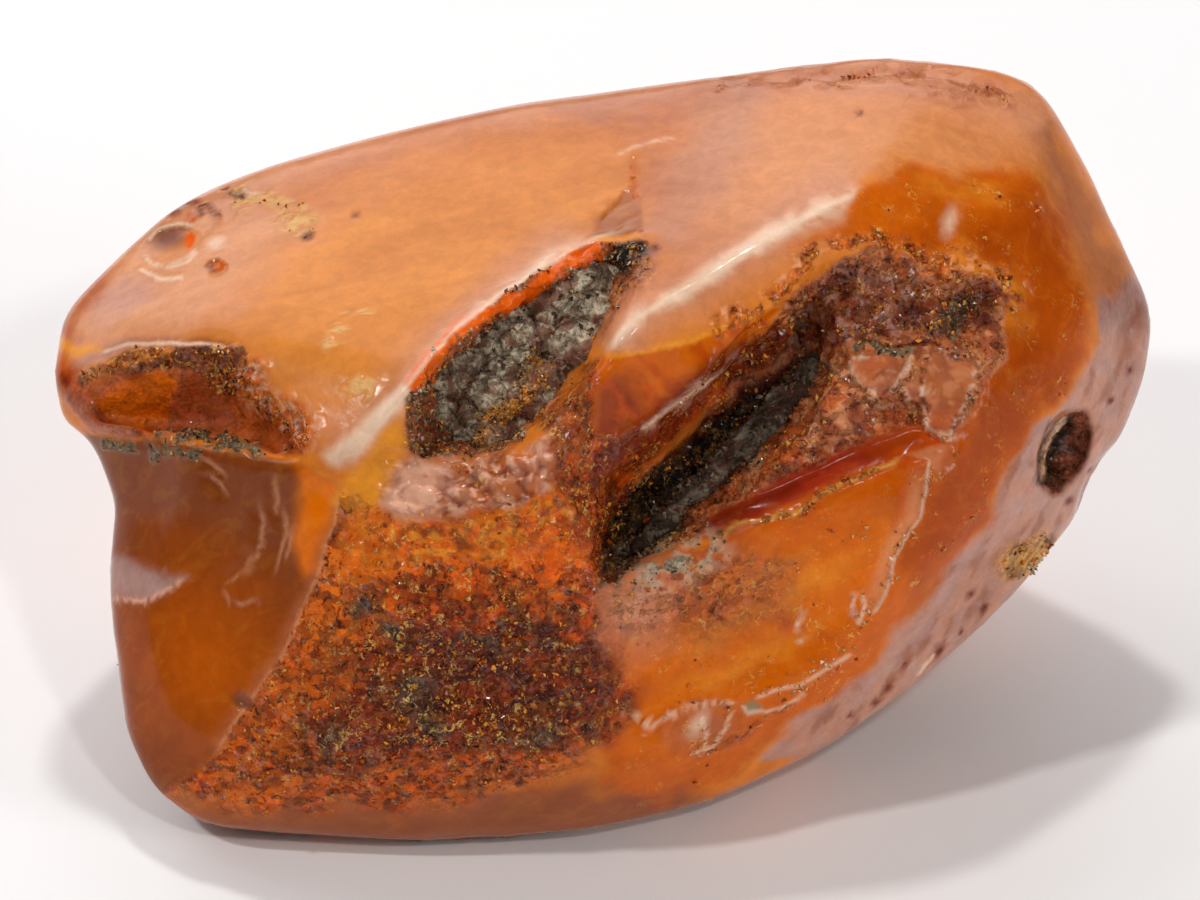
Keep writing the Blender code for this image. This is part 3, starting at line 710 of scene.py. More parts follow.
def colour_left(form):
    face = form.region(LEFT_FACE, 0.7, 0.15)
    # Browned, partly the face's own colour and partly painted shade under the overhanging lip.
    form.glaze(face, CHESTNUT, 0.9)
    form.spot((-36, -18.9), 12, ORANGE, 0.75, 1.3, -60, 1)
    form.glaze(form.region(STRIP, 2.2, 0.3) * face, BRIGHT, 1.6)
    form.glaze(form.band(LEFT_EDGE, 1.6, 0.3, 0.05) * face, FLESH, 0.6)
    form.line(LEFT_EDGE, 0.28, PEACH, 0.6, 0.1, 0.05)
    form.calm(face)
    # The glare is a painted reflection, with a painted highlight along its lower edge.
    form.glaze(form.region(GLARE, 1.2, 0.3) * form.oval((-40.3, -11.2), 6.5, 1.4, 0, 0.6), LILAC_SHEEN, 1.2)
    form.line([(-43.9, -13.5), (-41.2, -13.6), (-38.9, -12.6), (-37.2, -11.6)], 0.35, ROSE_SHEEN, 0.8, 0.1)
    wall = form.region(LIP_WALL, 0.5, 0.2)
    form.glaze(wall, FLESH, 0.5)
    form.glaze(wall, RUST, 0.6)
    for spot, radius, stretch, turn, colour in LEFT_END:
        form.spot(spot, radius, colour, 1.5, stretch, turn, 0.6)
    form.fill(GLASSY, BRIGHT, 1, 0.5, 0.15)
    form.fill(MAROON_FACET, FLESH, 0.9, 0.5, 0.15)
    form.fill(MAROON_FACET, RUST, 0.6, 2.5, 0.3)
    crust = form.region(LIP_CRUST, 0.5, 0.3)
    form.glaze(crust, PLUM, 0.8)
    form.coarsen(wall, 0.4, 0.1)
    form.coarsen(crust, 1, 1)
    form.line([(-46.6, 6.3), (-44.1, 7.6), (-40.5, 8.5), (-37.8, 8.8)], 1.1, GOLD, 0.6, 0.3)
    jagged = form.band(JAGGED, 2.4, 0.6)
    form.glaze(jagged, RUST, 0.9, rough=0.5, flecks=0.9)
    form.patches(jagged, 1.2, 39, BRIGHT, 0.9, 0.4)
    # The near-white patches are painted highlights on the jagged crystals.
    form.patches(jagged, 0.7, 35, PAINTED_HIGHLIGHT, 0.8, 0.15)
    form.line(LIP_EDGE, 0.8, MAROON, 0.6, 0.3)
    # A painted highlight along the lip's edge.
    form.line(LIP_EDGE, 0.3, PAINTED_HIGHLIGHT, 0.8, 0.2)
    form.line(LOWER_LIP, 1.3, PLUM, 0.6, 0.2)
    form.line([(-49, 10.1), (-46.8, 9), (-44.5, 9.2)], 0.6, GOLD, 0.8)
    form.line([(-48.3, 7.2), (-47.9, 5.6)], 0.8, MAROON, 0.9)
    for path in LEDGES:
        ledge = form.broken(form.band(path, 0.9, 0.5, 0.08), 1.1, 27, 0.75)
        form.glaze(ledge, DUST, 1.1, rough=1, flecks=0.2, dust=0.9)
    for path in CRESCENTS:
        form.line(path, 0.3, PEACH, 0.45, 0.2, 0.3)
    return wall, crust, jagged


def shape_left(form, wall, crust, jagged):
    form.step(LIP_EDGE[::-1], 0.4, 2.5)
    form.roughen(crust, (0.2, 1.6, 2, 3), (0.3, 1, 13, 1))
    form.roughen(jagged, sharp=(0.55, 1.7, 23, 1.1), base=0.2)
    form.step([(-37.5, 7.9), (-38.2, 5.2), (-39.1, 2.3)], 0.35, 1.6)
    form.crest(LOWER_LIP, 1.3, 0.5)
    form.boss((-27.9, 4.3), 0.8, 0.7)
    striae = form.region(MAROON_FACET, 0.5, 0.15)
    form.relief(striae, lambda spots: 0.05 * lumps(spots * np.array((1, 0.15, 0.15)), 0.55, 3))
    for path in CRESCENTS:
        form.step(path, 0.22, 1.4, 0.3, 0.2)
    form.step([(-45.7, -8.8), (-43.2, -9.5), (-40.5, -10.8), (-37.1, -11.7)], 0.3, 2.2)
    form.dish((-31.9, -22.5), 0.7, 0.6, 1.6, -30)
    form.spot((-31.9, -22.5), 0.8, PLUM, 2, 1.6, -30)
    ledge = sum(form.band(path, 0.9, 0.3, 0.15) for path in LEDGES)
    form.roughen(ledge, (0.35, 0.9, 8, 3), base=0.14)


# ---------------------------------------------------------------- the pocket and the folds below it

POCKET = [
    (-17.1, -0.2), (-17.3, 4.5), (-14.4, 9.4), (-9, 13.5), (-3.6, 17.3), (0, 18.4), (4.3, 18.5),
    (3.6, 16.9), (0, 13.5), (-2.2, 9.9), (-3.6, 8.8), (-5, 3.6), (-7.2, 0.9), (-9, 0), (-11.7, -0.7),
    (-15.3, -0.9),
]
POCKET_WALL = [
    (-17.3, 5.2), (-15.5, 7.6), (-13, 10.3), (-10.6, 11.9), (-7.2, 13.5), (-4.9, 15.2), (-3.4, 16.9),
    (-0.7, 18), (0.5, 17.6),
]
POCKET_EDGE = [
    (-20, 1.8), (-17.6, 5.2), (-15.3, 8.1), (-12.6, 11), (-9, 13.7), (-5.4, 16.2), (-3.1, 17.6), (0, 19.1),
    (3.6, 20.2),
]
POCKET_LIP = [(-5, 0.9), (-4.3, 4), (-3.6, 7.2), (-0.9, 11.2), (1.3, 13.5), (3.6, 16.4), (4.5, 18)]
THROAT = [
    (-4.7, 1.3), (-3.4, 4.7), (-1.1, 7.9), (0.4, 7.2), (0.2, 2.7), (-0.5, -1.4), (0.4, -6.3), (0.5, -11.7),
    (-0.9, -10.4), (-2.3, -6.5), (-4, -3.2),
]
GOLD_FLECKS = [(-10.6, 0.4), (-9.4, 2.2), (-7.2, 4.5), (-5.4, 7), (-4.5, 8.3)]
PINK_FOLDS = [
    (-19.1, -0.2), (-16.2, -1.1), (-11.7, -1.1), (-7.2, -0.2), (-4.7, 0.9), (-3.6, -1.8), (-5.4, -4.5),
    (-9, -5.6), (-14.4, -5.9), (-18, -5.6), (-19.8, -3.6),
]
PINK_GLOSS = [
    (-19.4, -5), (-18.4, -2.7), (-16.6, -1.3), (-14.8, -1.6), (-13.9, -3.2), (-15.3, -5), (-17.3, -5.6),
]
ORANGE_STRIP = [
    (-24.3, -5), (-22.5, -1.8), (-20, 0.9), (-17.6, 2.7), (-16.9, 0.4), (-18.4, -2.5), (-20, -5.2),
    (-22.5, -5.8),
]
CHIP_ABOVE = [(-0.9, 19.1), (0, 21.1), (2.5, 23.4), (3.6, 22.5), (3.8, 19.3), (1.8, 19.3)]


def colour_pocket(form):
    hollow = form.region(POCKET, 0.5, 0.15)
    form.glaze(hollow, PLUM, 0.9, rough=0.9, flecks=0.5, dust=0.35)
    form.line(POCKET_WALL, 1.2, EMBER, 1.3, ends=0.03)
    form.spot((-1.5, 16.9), 1.8, EMBER, 2.5, 1.5, 25)
    form.spot((-15.8, 6.7), 1, EMBER, 2, 1.5, 45)
    form.calm(form.band(POCKET_WALL, 1.2, 0.15, 0.03))
    # Painted shade: the black hole at the pocket's upper end.
    form.spot((2.5, 17.3), 1.6, PAINTED_SHADE, 3, 1.6, 20)
    # A painted highlight along the pocket's rim.
    form.line(POCKET_EDGE, 0.4, PAINTED_HIGHLIGHT, 0.8, 0.1)
    folds = form.region(PINK_FOLDS, 2, 0.6) * (1 - form.region(EMBER_BAND, 1.2, 0.5))
    form.glaze(folds, FLESH, 0.8)
    form.patches(folds, 2.4, 58, BLUSH, 0.7, 0.3)
    # The rose patches are painted sheen on the glossy folds.
    form.patches(folds, 0.8, 60, ROSE_SHEEN, 0.9, 0.25)
    form.patches(folds, 1.2, 61, MAROON, 0.7, 0.1)
    form.calm(folds)
    form.coarsen(form.broken(folds, 2, 59, 0.2), 0, 0.7)
    # The pink gloss patch is a painted sheen.
    gloss = form.region(PINK_GLOSS, 2.4, 0.8)
    form.calm(gloss)
    form.glaze(gloss, ROSE_SHEEN, 1)
    form.patches(gloss, 1.3, 57, PLUM, 0.5, 0.05)
    form.fill(ORANGE_STRIP, GOLD, 0.85, 1.2, 0.3)
    throat = form.region(THROAT, 1.6, 0.6)
    form.glaze(throat, MAROON, 0.75, rough=0.6, flecks=0.8)
    form.patches(throat, 1.4, 30, RUST, 0.8, 0.2)
    lip = form.band(POCKET_LIP, 1.5, 0.4)
    form.glaze(lip, MAROON, 0.8, rough=0.9, flecks=1)
    form.patches(lip, 1.2, 29, PEACH, 0.7, 0.2)
    gold = form.band(GOLD_FLECKS, 1.5, 0.4)
    form.glaze(gold, TAN, 0.8, rough=1, flecks=1)
    form.fill(CHIP_ABOVE, PLUM, 0.6, wobble=0.15)
    form.line([(2.9, 25.9), (3.2, 23.8), (3.4, 22.1)], 0.4, ORANGE, 0.8)
    form.line([(-0.2, 18.7), (2, 18.9), (3.8, 19.4)], 0.5, GOLD, 0.8)
    return hollow, folds, lip + gold


def shape_pocket(form, hollow, folds, lip):
    form.crest(POCKET_EDGE, 0.6, 0.25)
    form.roughen(hollow, (0.35, 1.8, 6, 4), (0.2, 1.1, 4, 1))
    form.roughen(np.clip(lip, 0, 1), sharp=(0.22, 0.8, 7, 1), base=0.2)

    def ripples(spots):
        wave = spots[:, 1] * 3.2 + 2.2 * lumps(spots, 3.5, 4) + 0.35 * spots[:, 0]
        return 0.3 * np.sin(wave) + 0.25 * layered(spots, 1.5, 2, 3) + 0.25 * shards(spots, 1.2, 6, 1)

    form.relief(folds, ripples)
    form.step([(-0.7, 19.3), (0.5, 21.4), (2.7, 23.6)], 0.35, 2.5)
    for shift in range(3):
        path = np.array([(0, 20.5), (1.4, 21.8), (2.9, 22.5)]) + np.array((0.9, -1.1)) * shift
        form.groove(path, 0.35, 0.15)
    form.groove([(3.1, 26.6), (3.1, 24.3), (3.4, 22.1)], 0.45, 0.5)
    form.boss((4, 19.3), 0.7, 0.4)
    form.step([(-20.2, -5.6), (-19.4, -3.2), (-17.6, -1.1), (-16.4, -0.7)], 0.4, 2.6)
    form.step([(-23.6, -5.2), (-22, -2), (-19.8, 0.4)], 0.25, 2)


# ---------------------------------------------------------------- the long gash, its shelf and its facets

SHELF = [
    (-0.1, -12.4), (3.6, -9.9), (8.1, -7.9), (13, -5.6), (18, -2.9), (23.4, -0.7), (28.1, 0.9), (31.1, 0.7),
    (33.7, 4.5), (36.4, 8.3), (36.4, 13.5), (35.3, 15.5), (30.1, 16.2), (27.4, 17.5), (24.3, 18.4),
    (22.1, 16.9), (17.1, 13.9), (13.7, 9), (10.6, 5.2), (8.1, 0.9), (3.6, -2.7), (0, -4.5),
]
UPPER_PATCH = [
    (17.2, 13.9), (22.1, 16.9), (27.4, 16.2), (30.1, 14.4), (35.1, 15.1), (36.4, 13.5), (35.5, 10.6),
    (30.6, 10.1), (23.4, 10.3), (20.9, 9.3), (16.9, 8.9),
]
GREY_ZONE = [(30.4, 13.5), (32.9, 13.9), (33.8, 11.9), (32.4, 10.4), (30.2, 10.8)]
ORANGE_FACET = [
    (0, 8.4), (6.3, 9.1), (8.7, 10), (12.6, 11.3), (14.5, 12.5), (16.2, 12.8), (13.7, 10.3), (10.8, 8.3),
    (8.1, 5.8), (5.4, 3.2), (3.6, 2), (1.4, 1.3), (0, -0.2), (-0.9, 2.7),
]
FACET_DARK = [(-0.9, 5.8), (1.3, 7), (3.6, 5.9), (4.7, 4.1), (3.6, 2), (1.1, 0.9), (-0.7, -1.8)]
UNDER_FACET = [
    (-0.9, 1.8), (1.4, 1.2), (3.6, 2), (5.4, 3.2), (8.1, 5.8), (10.8, 8.3), (13.7, 10.3), (15.5, 11.5),
    (17.1, 10.8), (15.8, 8.8), (13, 6.3), (10.1, 4), (7.6, 1.8), (5, -0.7), (2.5, -3.6), (0.9, -8.1),
    (0, -11), (-0.5, -6.3),
]
LIP_BAND = [(0.5, -0.3), (4, 1.6), (7, 4), (10.2, 6.8), (13.6, 9.1), (15.3, 10.1)]
CAVITY = [
    (0.4, -11.2), (0.5, -6.3), (3.6, -2.7), (6.5, 0.4), (9, 2.7), (12.6, 5.2), (17.1, 7.9), (19.1, 9),
    (20.3, 7.9), (17.1, 4.9), (13.5, 1.6), (10.1, -1.4), (7.6, -4.1), (4.5, -7.2), (2.2, -9.9),
]
CAVITY_HEART = [
    (0, -11.7), (0.5, -6.8), (3.6, -3.4), (8.1, 0.9), (12.6, 4.3), (17.1, 7), (19.3, 7.9), (18, 5.2),
    (13.5, 1.6), (10.1, -1.4), (7.6, -4.1), (4.5, -7.2), (2.2, -10.3),
]
RED_BAND = [(8.3, -7.7), (12.6, -5.8), (18.4, -2.7), (23.2, -0.6), (28, 1.1), (31.3, 0.9)]
BAND_EDGE = [(9, -8.5), (12.6, -6.9), (17.5, -5.3), (20.8, -3.6), (24.3, -1.8), (27.4, -0.4)]
SHIELD = [(22.4, 8.4), (25.2, 8.8), (28.1, 8.8), (26.6, 5.8), (24.9, 4.8), (23.4, 5.6), (22.5, 7)]
SECOND_LUMP = [(27, 6.3), (29.2, 6.9), (29, 4.3), (27.4, 4.5)]
PINK_PLANE = [(29.7, 8.8), (34, 7.6), (31.5, 1.4), (29.3, 1.9), (29.6, 3.9), (28.8, 5.3)]
PATCH_SEAM = [(23.2, 9.9), (25.8, 9.1), (30, 9.7)]
WISP = [(22.3, 9), (23.7, 9.6), (25.2, 8.9), (26.8, 8.6), (28.3, 9.1)]
CRUMB_LINE = [(0.5, -11.5), (3.6, -8.5), (7.6, -3.4), (10.8, -0.7), (13.5, 1.4), (17.1, 4.7), (20.5, 7.6)]
STRIATED = [
    (0.3, -12.6), (7.2, -9.5), (12.6, -8.5), (18, -9.9), (16.2, -15.3), (10.8, -17.1), (3.6, -17.6),
    (0.5, -16.2),
]
CRACK = [(29.4, -0.7), (29.2, -3.4), (28.5, -5.8), (27.5, -7.5), (26.4, -10.2), (25.4, -13), (24.2, -14.9)]
CORNER_CHIP = [(27.3, -0.3), (31.9, 0.7), (31.9, -1.4), (30.2, -2.4), (29.2, -1)]
JAG_EDGE = [
    (9, 9.9), (12.6, 11.5), (14.6, 12.8), (17.1, 15.3), (18.5, 16.9), (20.7, 18.4), (24.1, 19.3),
    (27.4, 18.2), (30.6, 16.9), (35.1, 16.2), (36.9, 14.2), (36.9, 11.7),
]


def colour_gash(form):
    shelf = form.region(SHELF, 0.5, 0.3)
    form.glaze(shelf, FLESH, 0.85, rough=0.6, flecks=0.4)
    form.spot((19.8, 0), 10, RUST, 0.8, 1.6, 25, 1)
    form.patches(shelf, 3, 36, PLUM, 0.8, 0.3)
    form.patches(shelf, 1.3, 34, PEACH, 0.7, 0.25)
    patch = form.region(UPPER_PATCH, 1.2, 0.6)
    form.glaze(patch, PLUM, 0.85, rough=0.9, flecks=0.15)
    form.patches(patch, 2.2, 37, MAROON, 0.7, 0.3)
    # The lilac patches are painted sheen on the shelf.
    form.patches(patch, 1.4, 33, LILAC_SHEEN, 0.6, 0.1)
    form.coarsen(form.broken(patch, 2.4, 74, 0.1), 0.9, 0.7)
    form.fill(GREY_ZONE, SLATE, 0.9, 2, 0.8, rough=0.9, flecks=0.1, dust=0.3)
    facet = form.region(ORANGE_FACET, 0.35, 0.15)
    form.glaze(facet, ORANGE, 0.95)
    form.calm(facet)
    streaks = form.points @ np.array(((0.8, 0.13, 0), (0.6, -0.17, 0), (0, 0, 0.3)))
    form.glaze(facet * ease(layered(streaks, 1.2, 62, 3) * 1.6), RUST, 0.8)
    dark = form.region(FACET_DARK, 2.5, 0.8)
    form.glaze(dark, MAROON, 0.7)
    form.glaze(dark * ease(layered(streaks, 0.9, 63, 3) * 1.8), RUST, 0.8)
    form.line(ORANGE_FACET[:5], 0.4, GOLD, 0.9, 0.25)
    wall = form.region(UNDER_FACET, 0.8, 0.3)
    # The dark maroon on the gash's upper wall is partly its own colour and partly painted shade.
    form.glaze(wall, MAROON, 0.95, rough=0.4, flecks=0.45)
    form.patches(wall, 2, 48, WINE, 0.7, 0.1)
    form.patches(wall, 1.6, 32, RUST, 0.8, 0.1)
    form.line(LIP_BAND, 2.4, MAROON, 0.95, 0.3)
    # The lilac along the fold is a painted highlight.
    form.patches(form.band(LIP_BAND, 0.8, 0.3), 2, 49, LILAC_SHEEN, 0.7, 0.4)
    form.coarsen(form.broken(form.band(LIP_BAND, 1.6, 0.6), 2, 24), 0.5, 0.3)
    # Painted shade deep in the gash: wine-dark, with a near-black heart.
    form.fill(CAVITY, WINE, 0.95, 1, 0.4)
    form.fill(CAVITY_HEART, PAINTED_SHADE, 1.1, 1.2, 0.4)
    form.coarsen(form.region(CAVITY, 0.8, 0.3), 0.8)
    band = form.band(RED_BAND, 1.8, 0.15, 0.12)
    form.glaze(band, BRICK, 1.8)
    form.line(RED_BAND[:3], 1.2, MAROON, 0.6)
    form.spot((28.3, 0.7), 3.4, RUST, 1.6, 1.6, 15)
    form.calm(band, 1.5)
    for outline in (SHIELD, SECOND_LUMP, PINK_PLANE, CORNER_CHIP):
        chip = form.region(outline, 0.35, 0.1)
        colour = PEACH if outline is CORNER_CHIP else FLESH
        form.glaze(chip * ease(1 + layered(form.points, 3, 71, 2)), colour, 0.5)
        form.calm(chip, 0.8)
    # The maroon patches round each lump are painted shade in its rim crevice, and the near-white ones painted
    # highlights.
    for outline in (SHIELD, SECOND_LUMP, PINK_PLANE):
        edge = form.band([*outline, outline[0]], 0.5, 0.4, 0)
        form.patches(edge, 1.6, 72, MAROON, 0.8, 0.3)
        form.patches(edge, 1, 73, PAINTED_HIGHLIGHT, 0.7, 0.1)
    form.line(WISP, 0.5, DUST, 1.4, 0.1, rough=1, dust=0.6)
    form.line(PATCH_SEAM, 0.35, MAROON, 1.2)
    crumbs = form.broken(form.band(CRUMB_LINE, 1.8, 1, 0.04), 1.8, 25, 0.6)
    form.glaze(crumbs, DUST, 0.8, rough=1, flecks=0.4, dust=0.9)
    form.line(BAND_EDGE, 0.35, TAN, 0.8, 0.3)
    form.coarsen(form.broken(form.band(BAND_EDGE, 0.6, 0.5), 1, 26), 1, 1)
    grain = form.region(STRIATED, 5, 0.8)
    form.glaze(grain, PLUM, 0.5, rough=0.5, flecks=0.35)
    form.spot((3.6, -13.5), 5, BLUSH, 0.9, 1.3, 80, 1)
    smear = form.broken(form.oval((6.8, -10.1), 3.4, 1.7, 8, 1), 1.6, 31, 0.6)
    form.glaze(smear, CHALK, 1.5, rough=0.9, flecks=0.1, dust=0.7)
    form.coarsen(form.broken(form.region(STRIATED, 3, 1), 2, 75, 0.15), 0.3, 0.6)
    jags = form.broken(form.band(JAG_EDGE, 1.8, 1.2, 0.05), 1.3, 21, 0.5)
    form.glaze(jags, BRIGHT, 0.7, rough=0.8, flecks=1)
    form.patches(jags, 0.9, 22, MAROON, 0.6, 0.2)
    # A painted highlight along the crack.
    form.line(CRACK, 0.28, PAINTED_HIGHLIGHT, 0.9, ends=0.05)
    form.line([(a - 0.9, u - 0.3) for a, u in CRACK], 1.2, PEACH, 0.5, 0.2, 0.2)
    return shelf, grain, crumbs, jags


def shape_gash(form, shelf, grain, crumbs, jags):
    rough = np.clip(shelf * (form.rough > 0.3), 0, 1)
    form.roughen(rough, (0.3, 2.6, 15, 3), (0.28, 1.7, 12, 1.1))
    form.roughen(np.clip(crumbs, 0, 1), (0.4, 0.9, 18, 3), base=0.12)
    form.roughen(jags, sharp=(0.3, 0.9, 17, 1), base=0.12)
    form.crest(LIP_BAND, 1.3, 0.45)
    form.step(LIP_BAND, 0.7, 2, 0.5)
    form.groove(RED_BAND, 1.6, 0.5, 0.1)
    form.step(BAND_EDGE[::-1], 0.45, 1.8, 0.3)
    form.boss((25.2, 7), 3.6, 0.9)
    form.boss((28.2, 5.6), 1.6, 0.5, 1.1)
    form.groove(PATCH_SEAM, 0.5, 0.5)
    for across in range(4):
        path = [(0.4, 7), (1.1, 5.2), (1.3, 2.7)] + np.array((1.3 * across, -0.1 * across))
        form.groove(path, 0.45, 0.12)
    diagonal = np.array(((0.94, 0.34, 0), (-0.34, 0.94, 0), (0, 0, 1))) * np.array((0.16, 1, 0.4))[:, None]
    form.relief(grain, lambda spots: 0.16 * layered(spots @ diagonal.T, 0.8, 5, 3))
    form.step(CRACK, 0.35, 2.4, 0.25, 0.1)
    form.step([(31.9, 0.9), (31.9, -1.4), (30.3, -2.4), (29.2, -1), (27.4, -0.4)], 0.3, 1.6, 0.25, 0.1)
    form.boss((23.4, -14.7), 0.8, 0.35, 1.7, 60)
    form.step([(29.2, 2), (31.3, 1.1), (32.6, 2.7)], 0.35, 1.5, 0.25)


# ---------------------------------------------------------------- the lower right and the pitted right end with its painted sheen

DEEP_ORANGE = [
    (18.4, 18.5), (24.2, 23.8), (26, 24.9), (28.3, 25.5), (31.8, 25.1), (35.9, 25.8), (38.7, 24.9),
    (40, 22.6), (40.9, 18.9), (43.2, 13.5), (43.4, 8.1), (40.5, 4.5), (38.2, 1.1), (36.4, -1.8),
    (35.1, -5.8), (33.3, -9), (30.6, -11.2), (27.4, -14.6), (24.3, -19.6), (21.6, -21.6), (9, -30.6),
    (0.9, -32.9), (0, -25.2), (1.4, -21.6), (0, -12.6), (9, -8.5), (27, -0.2), (33.8, 7.6), (36.7, 14.4),
    (35.1, 16.6), (24.1, 19.3),
]
# The right end's outline: painted sheen over it, with real streaks along the edge.
RIGHT_END_STREAKS_AND_SHEEN = [
    (45.1, 13.5), (44.6, 8.9), (42.8, 5.9), (40.9, 3.1), (38.2, 1.1), (36.8, -1.4), (35.5, -5.6),
    (34.1, -8.3), (31, -10.8), (29.4, -13.5), (26.5, -16), (24.7, -19.3), (22.1, -21.1), (20.1, -22.7),
    (18, -23.8), (14.4, -27.9), (27, -26.1), (36, -17.1), (43.2, -8.1), (48.6, 1.8), (50.4, 10.8),
    (49.5, 17.1),
]
DARKER_RIGHT = [
    (29.7, 19.8), (41.4, 23.4), (43.6, 14.4), (43.2, 8.1), (39.6, 3.6), (36, -2.2), (34.2, -9),
    (28.8, -13.5), (27, -4.5), (32.4, 0.9), (36.9, 10.8), (36, 16.2),
]
LOWER_FACET = [
    (0.5, -13.5), (9, -9.9), (23.4, -3.6), (27.4, -9.9), (24.3, -18.9), (18, -22.5), (10.8, -29.7),
    (1.8, -30.6), (0.5, -26.1), (1.6, -21.6),
]
FACET_STREAKS = [
    [(3.6, -18.9), (9, -17.1), (14.4, -14.4), (20.7, -10.8), (25.2, -7.2)],
    [(3.6, -22.5), (10.8, -19.8), (18, -17.1), (22.5, -13.5)],
    [(9, -13.5), (14.4, -11.7), (19.8, -8.1)],
    [(28.8, 17.1), (32.4, 18), (36.9, 13.5), (38.7, 8.1)],
    [(27, 23.4), (32.4, 23.8), (37.8, 22.9)],
]
RIGHT_HOLLOW = [
    (39.8, -3.2), (39.7, -0.4), (40.9, 2), (41.9, 3.2), (43.4, 3.6), (44.1, 1.8), (43.7, -0.7),
    (42.3, -2.3), (41.6, -4), (40.5, -4.1),
]
RIGHT_SLOT = [(43.4, -5.2), (44.1, -3.1), (45.7, -0.5), (47.3, 1.3), (47.2, -0.5), (45.7, -3.1), (44.3, -5)]
UNDERSIDE = [
    (-40.5, -31.5), (-31.5, -31.5), (-24.3, -30.1), (-15.3, -31), (-3.6, -29.9), (3.6, -30.6),
    (10.8, -31.5), (3.6, -36), (-18, -38.7), (-37.8, -36.9),
]
FAR_RIGHT = [
    (41.4, 29.7), (43.2, 25.2), (45.7, 18.9), (49.5, 14.4), (50.4, 10.8), (46.8, 9.9), (44.5, 13.5),
    (42.3, 19.8), (40.5, 24.3), (39.1, 28.8),
]
OVAL_CHIP = (9.3, -24.9)
FLAKE_EDGES = [
    [(28.1, 8.6), (27.1, 7), (25.9, 5)],
    [(28.9, 4.3), (29.3, 2), (31.1, 0.9), (32.1, 1.2)],
    [(23.9, 4.7), (25.2, 3.6), (26.4, 4.1)],
    [(22.1, 8.3), (22.5, 6.7), (23.6, 5.2)],
    [(3.6, 1.6), (6.5, 3.8), (9.4, 5.9), (11.2, 7.4)],
    [(19.1, 8.8), (21.4, 7), (22.1, 6.3)],
    [(3.6, -25.7), (4.7, -24.7), (6.1, -23.8), (7.9, -22.9), (10.1, -22.6), (12.4, -22.7)],
    [(8.1, -27.2), (10.1, -26.5), (11.3, -25), (11.9, -23.2)],
    [(9.4, -26.8), (9.5, -25.2), (9, -23.6)],
    [(13.7, -22.4), (15.8, -21.5), (18, -21), (20.3, -19.7), (22.7, -18.2)],
    [(14.4, -23.6), (16.6, -22.9), (18.5, -21.6)],
    [(23, -12.6), (22.5, -14), (23.1, -15.5), (23.7, -13.9), (23.4, -12.6)],
    [(18, -13.9), (17.6, -15.5), (18.1, -17.3)],
    [(1.8, -23), (3.1, -23.6), (4.3, -24.7)],
    [(12.8, -22.9), (13.3, -23.6), (14.8, -23.2)],
    [(30.2, -18.2), (29.2, -19.3), (28.6, -20.3)],
]
SMALL_PITS = [
    ((30.5, -18.1), 0.5), ((26, -21.3), 0.5), ((24.7, -22.7), 0.45), ((34.6, -14.2), 0.5),
    ((36.9, -11.2), 0.4), ((27.4, -19.3), 0.35), ((32.4, -16.4), 0.35), ((29.2, -21.1), 0.35),
    ((40.5, -8.1), 0.4), ((42.3, -4.5), 0.4), ((44.1, -1.8), 0.3), ((45.9, 4.5), 0.35),
    ((22.5, -23.8), 0.35), ((33.3, -13), 0.4), ((36, -15.8), 0.3), ((47.7, 7.2), 0.4),
]


def colour_lower_right(form):
    form.fill(DEEP_ORANGE, ORANGE, 0.95, 1.4, 0.8)
    form.fill(DARKER_RIGHT, COPPER, 0.8, 5, 1.2)
    form.fill(LOWER_FACET, BRIGHT, 0.45, 3, 0.8)
    form.line([(13.3, -14.2), (16.2, -15.5), (19.3, -16.6), (22.7, -17.6)], 0.9, RUST, 0.6, 0.5, 0.3)
    for path in FACET_STREAKS:
        form.line(path, 1.6, GOLD, 0.4, 0.8, 0.3)
    # The pale lilac over the right end is painted sheen, a reflection; the plum streaks along the edge and
    # the slight roughness are its own.
    skin = form.region(RIGHT_END_STREAKS_AND_SHEEN, 0.8, 0.5)
    form.glaze(skin, LILAC_SHEEN, 0.75)
    along_edge = form.points @ np.array(((0.87, 0.26, 0), (-0.5, 0.15, 0), (0, 0, 0.4)))
    form.glaze(skin * ease(layered(along_edge, 1.3, 61, 3) * 1.4), PLUM, 0.6)
    form.coarsen(skin, 0.14)
    # More painted sheen in patches.
    form.patches(skin, 2.6, 87, LILAC_SHEEN, 0.6, 0.3)
    form.fill(FAR_RIGHT, MAUVE, 0.6, 2.5, 0.6)
    faint = form.broken(form.region(LOWER_FACET, 3, 1), 3, 44, 0.4)
    form.coarsen(faint, 0.12, 0.35)
    form.coarsen(form.broken(form.region(DEEP_ORANGE, 2, 1), 2.5, 45, 0.2), 0.1, 0.4)
    form.spot((38.7, -9.7), 2.4, TAN, 1.5, 1.6, 35, 0.5)
    form.coarsen(ease(form.oval((38.7, -9.7), 2.4, 1.6, 35, 0.5) * 2), 0.9, 0.8, 0.3)
    form.fill(UNDERSIDE, PLUM, 0.85, 3, 1)
    form.spot((13.7, -23.1), 0.8, DUST, 1.5, 1.4)
    form.spot((-2.2, 0.1), 0.7, GOLD, 2.5)


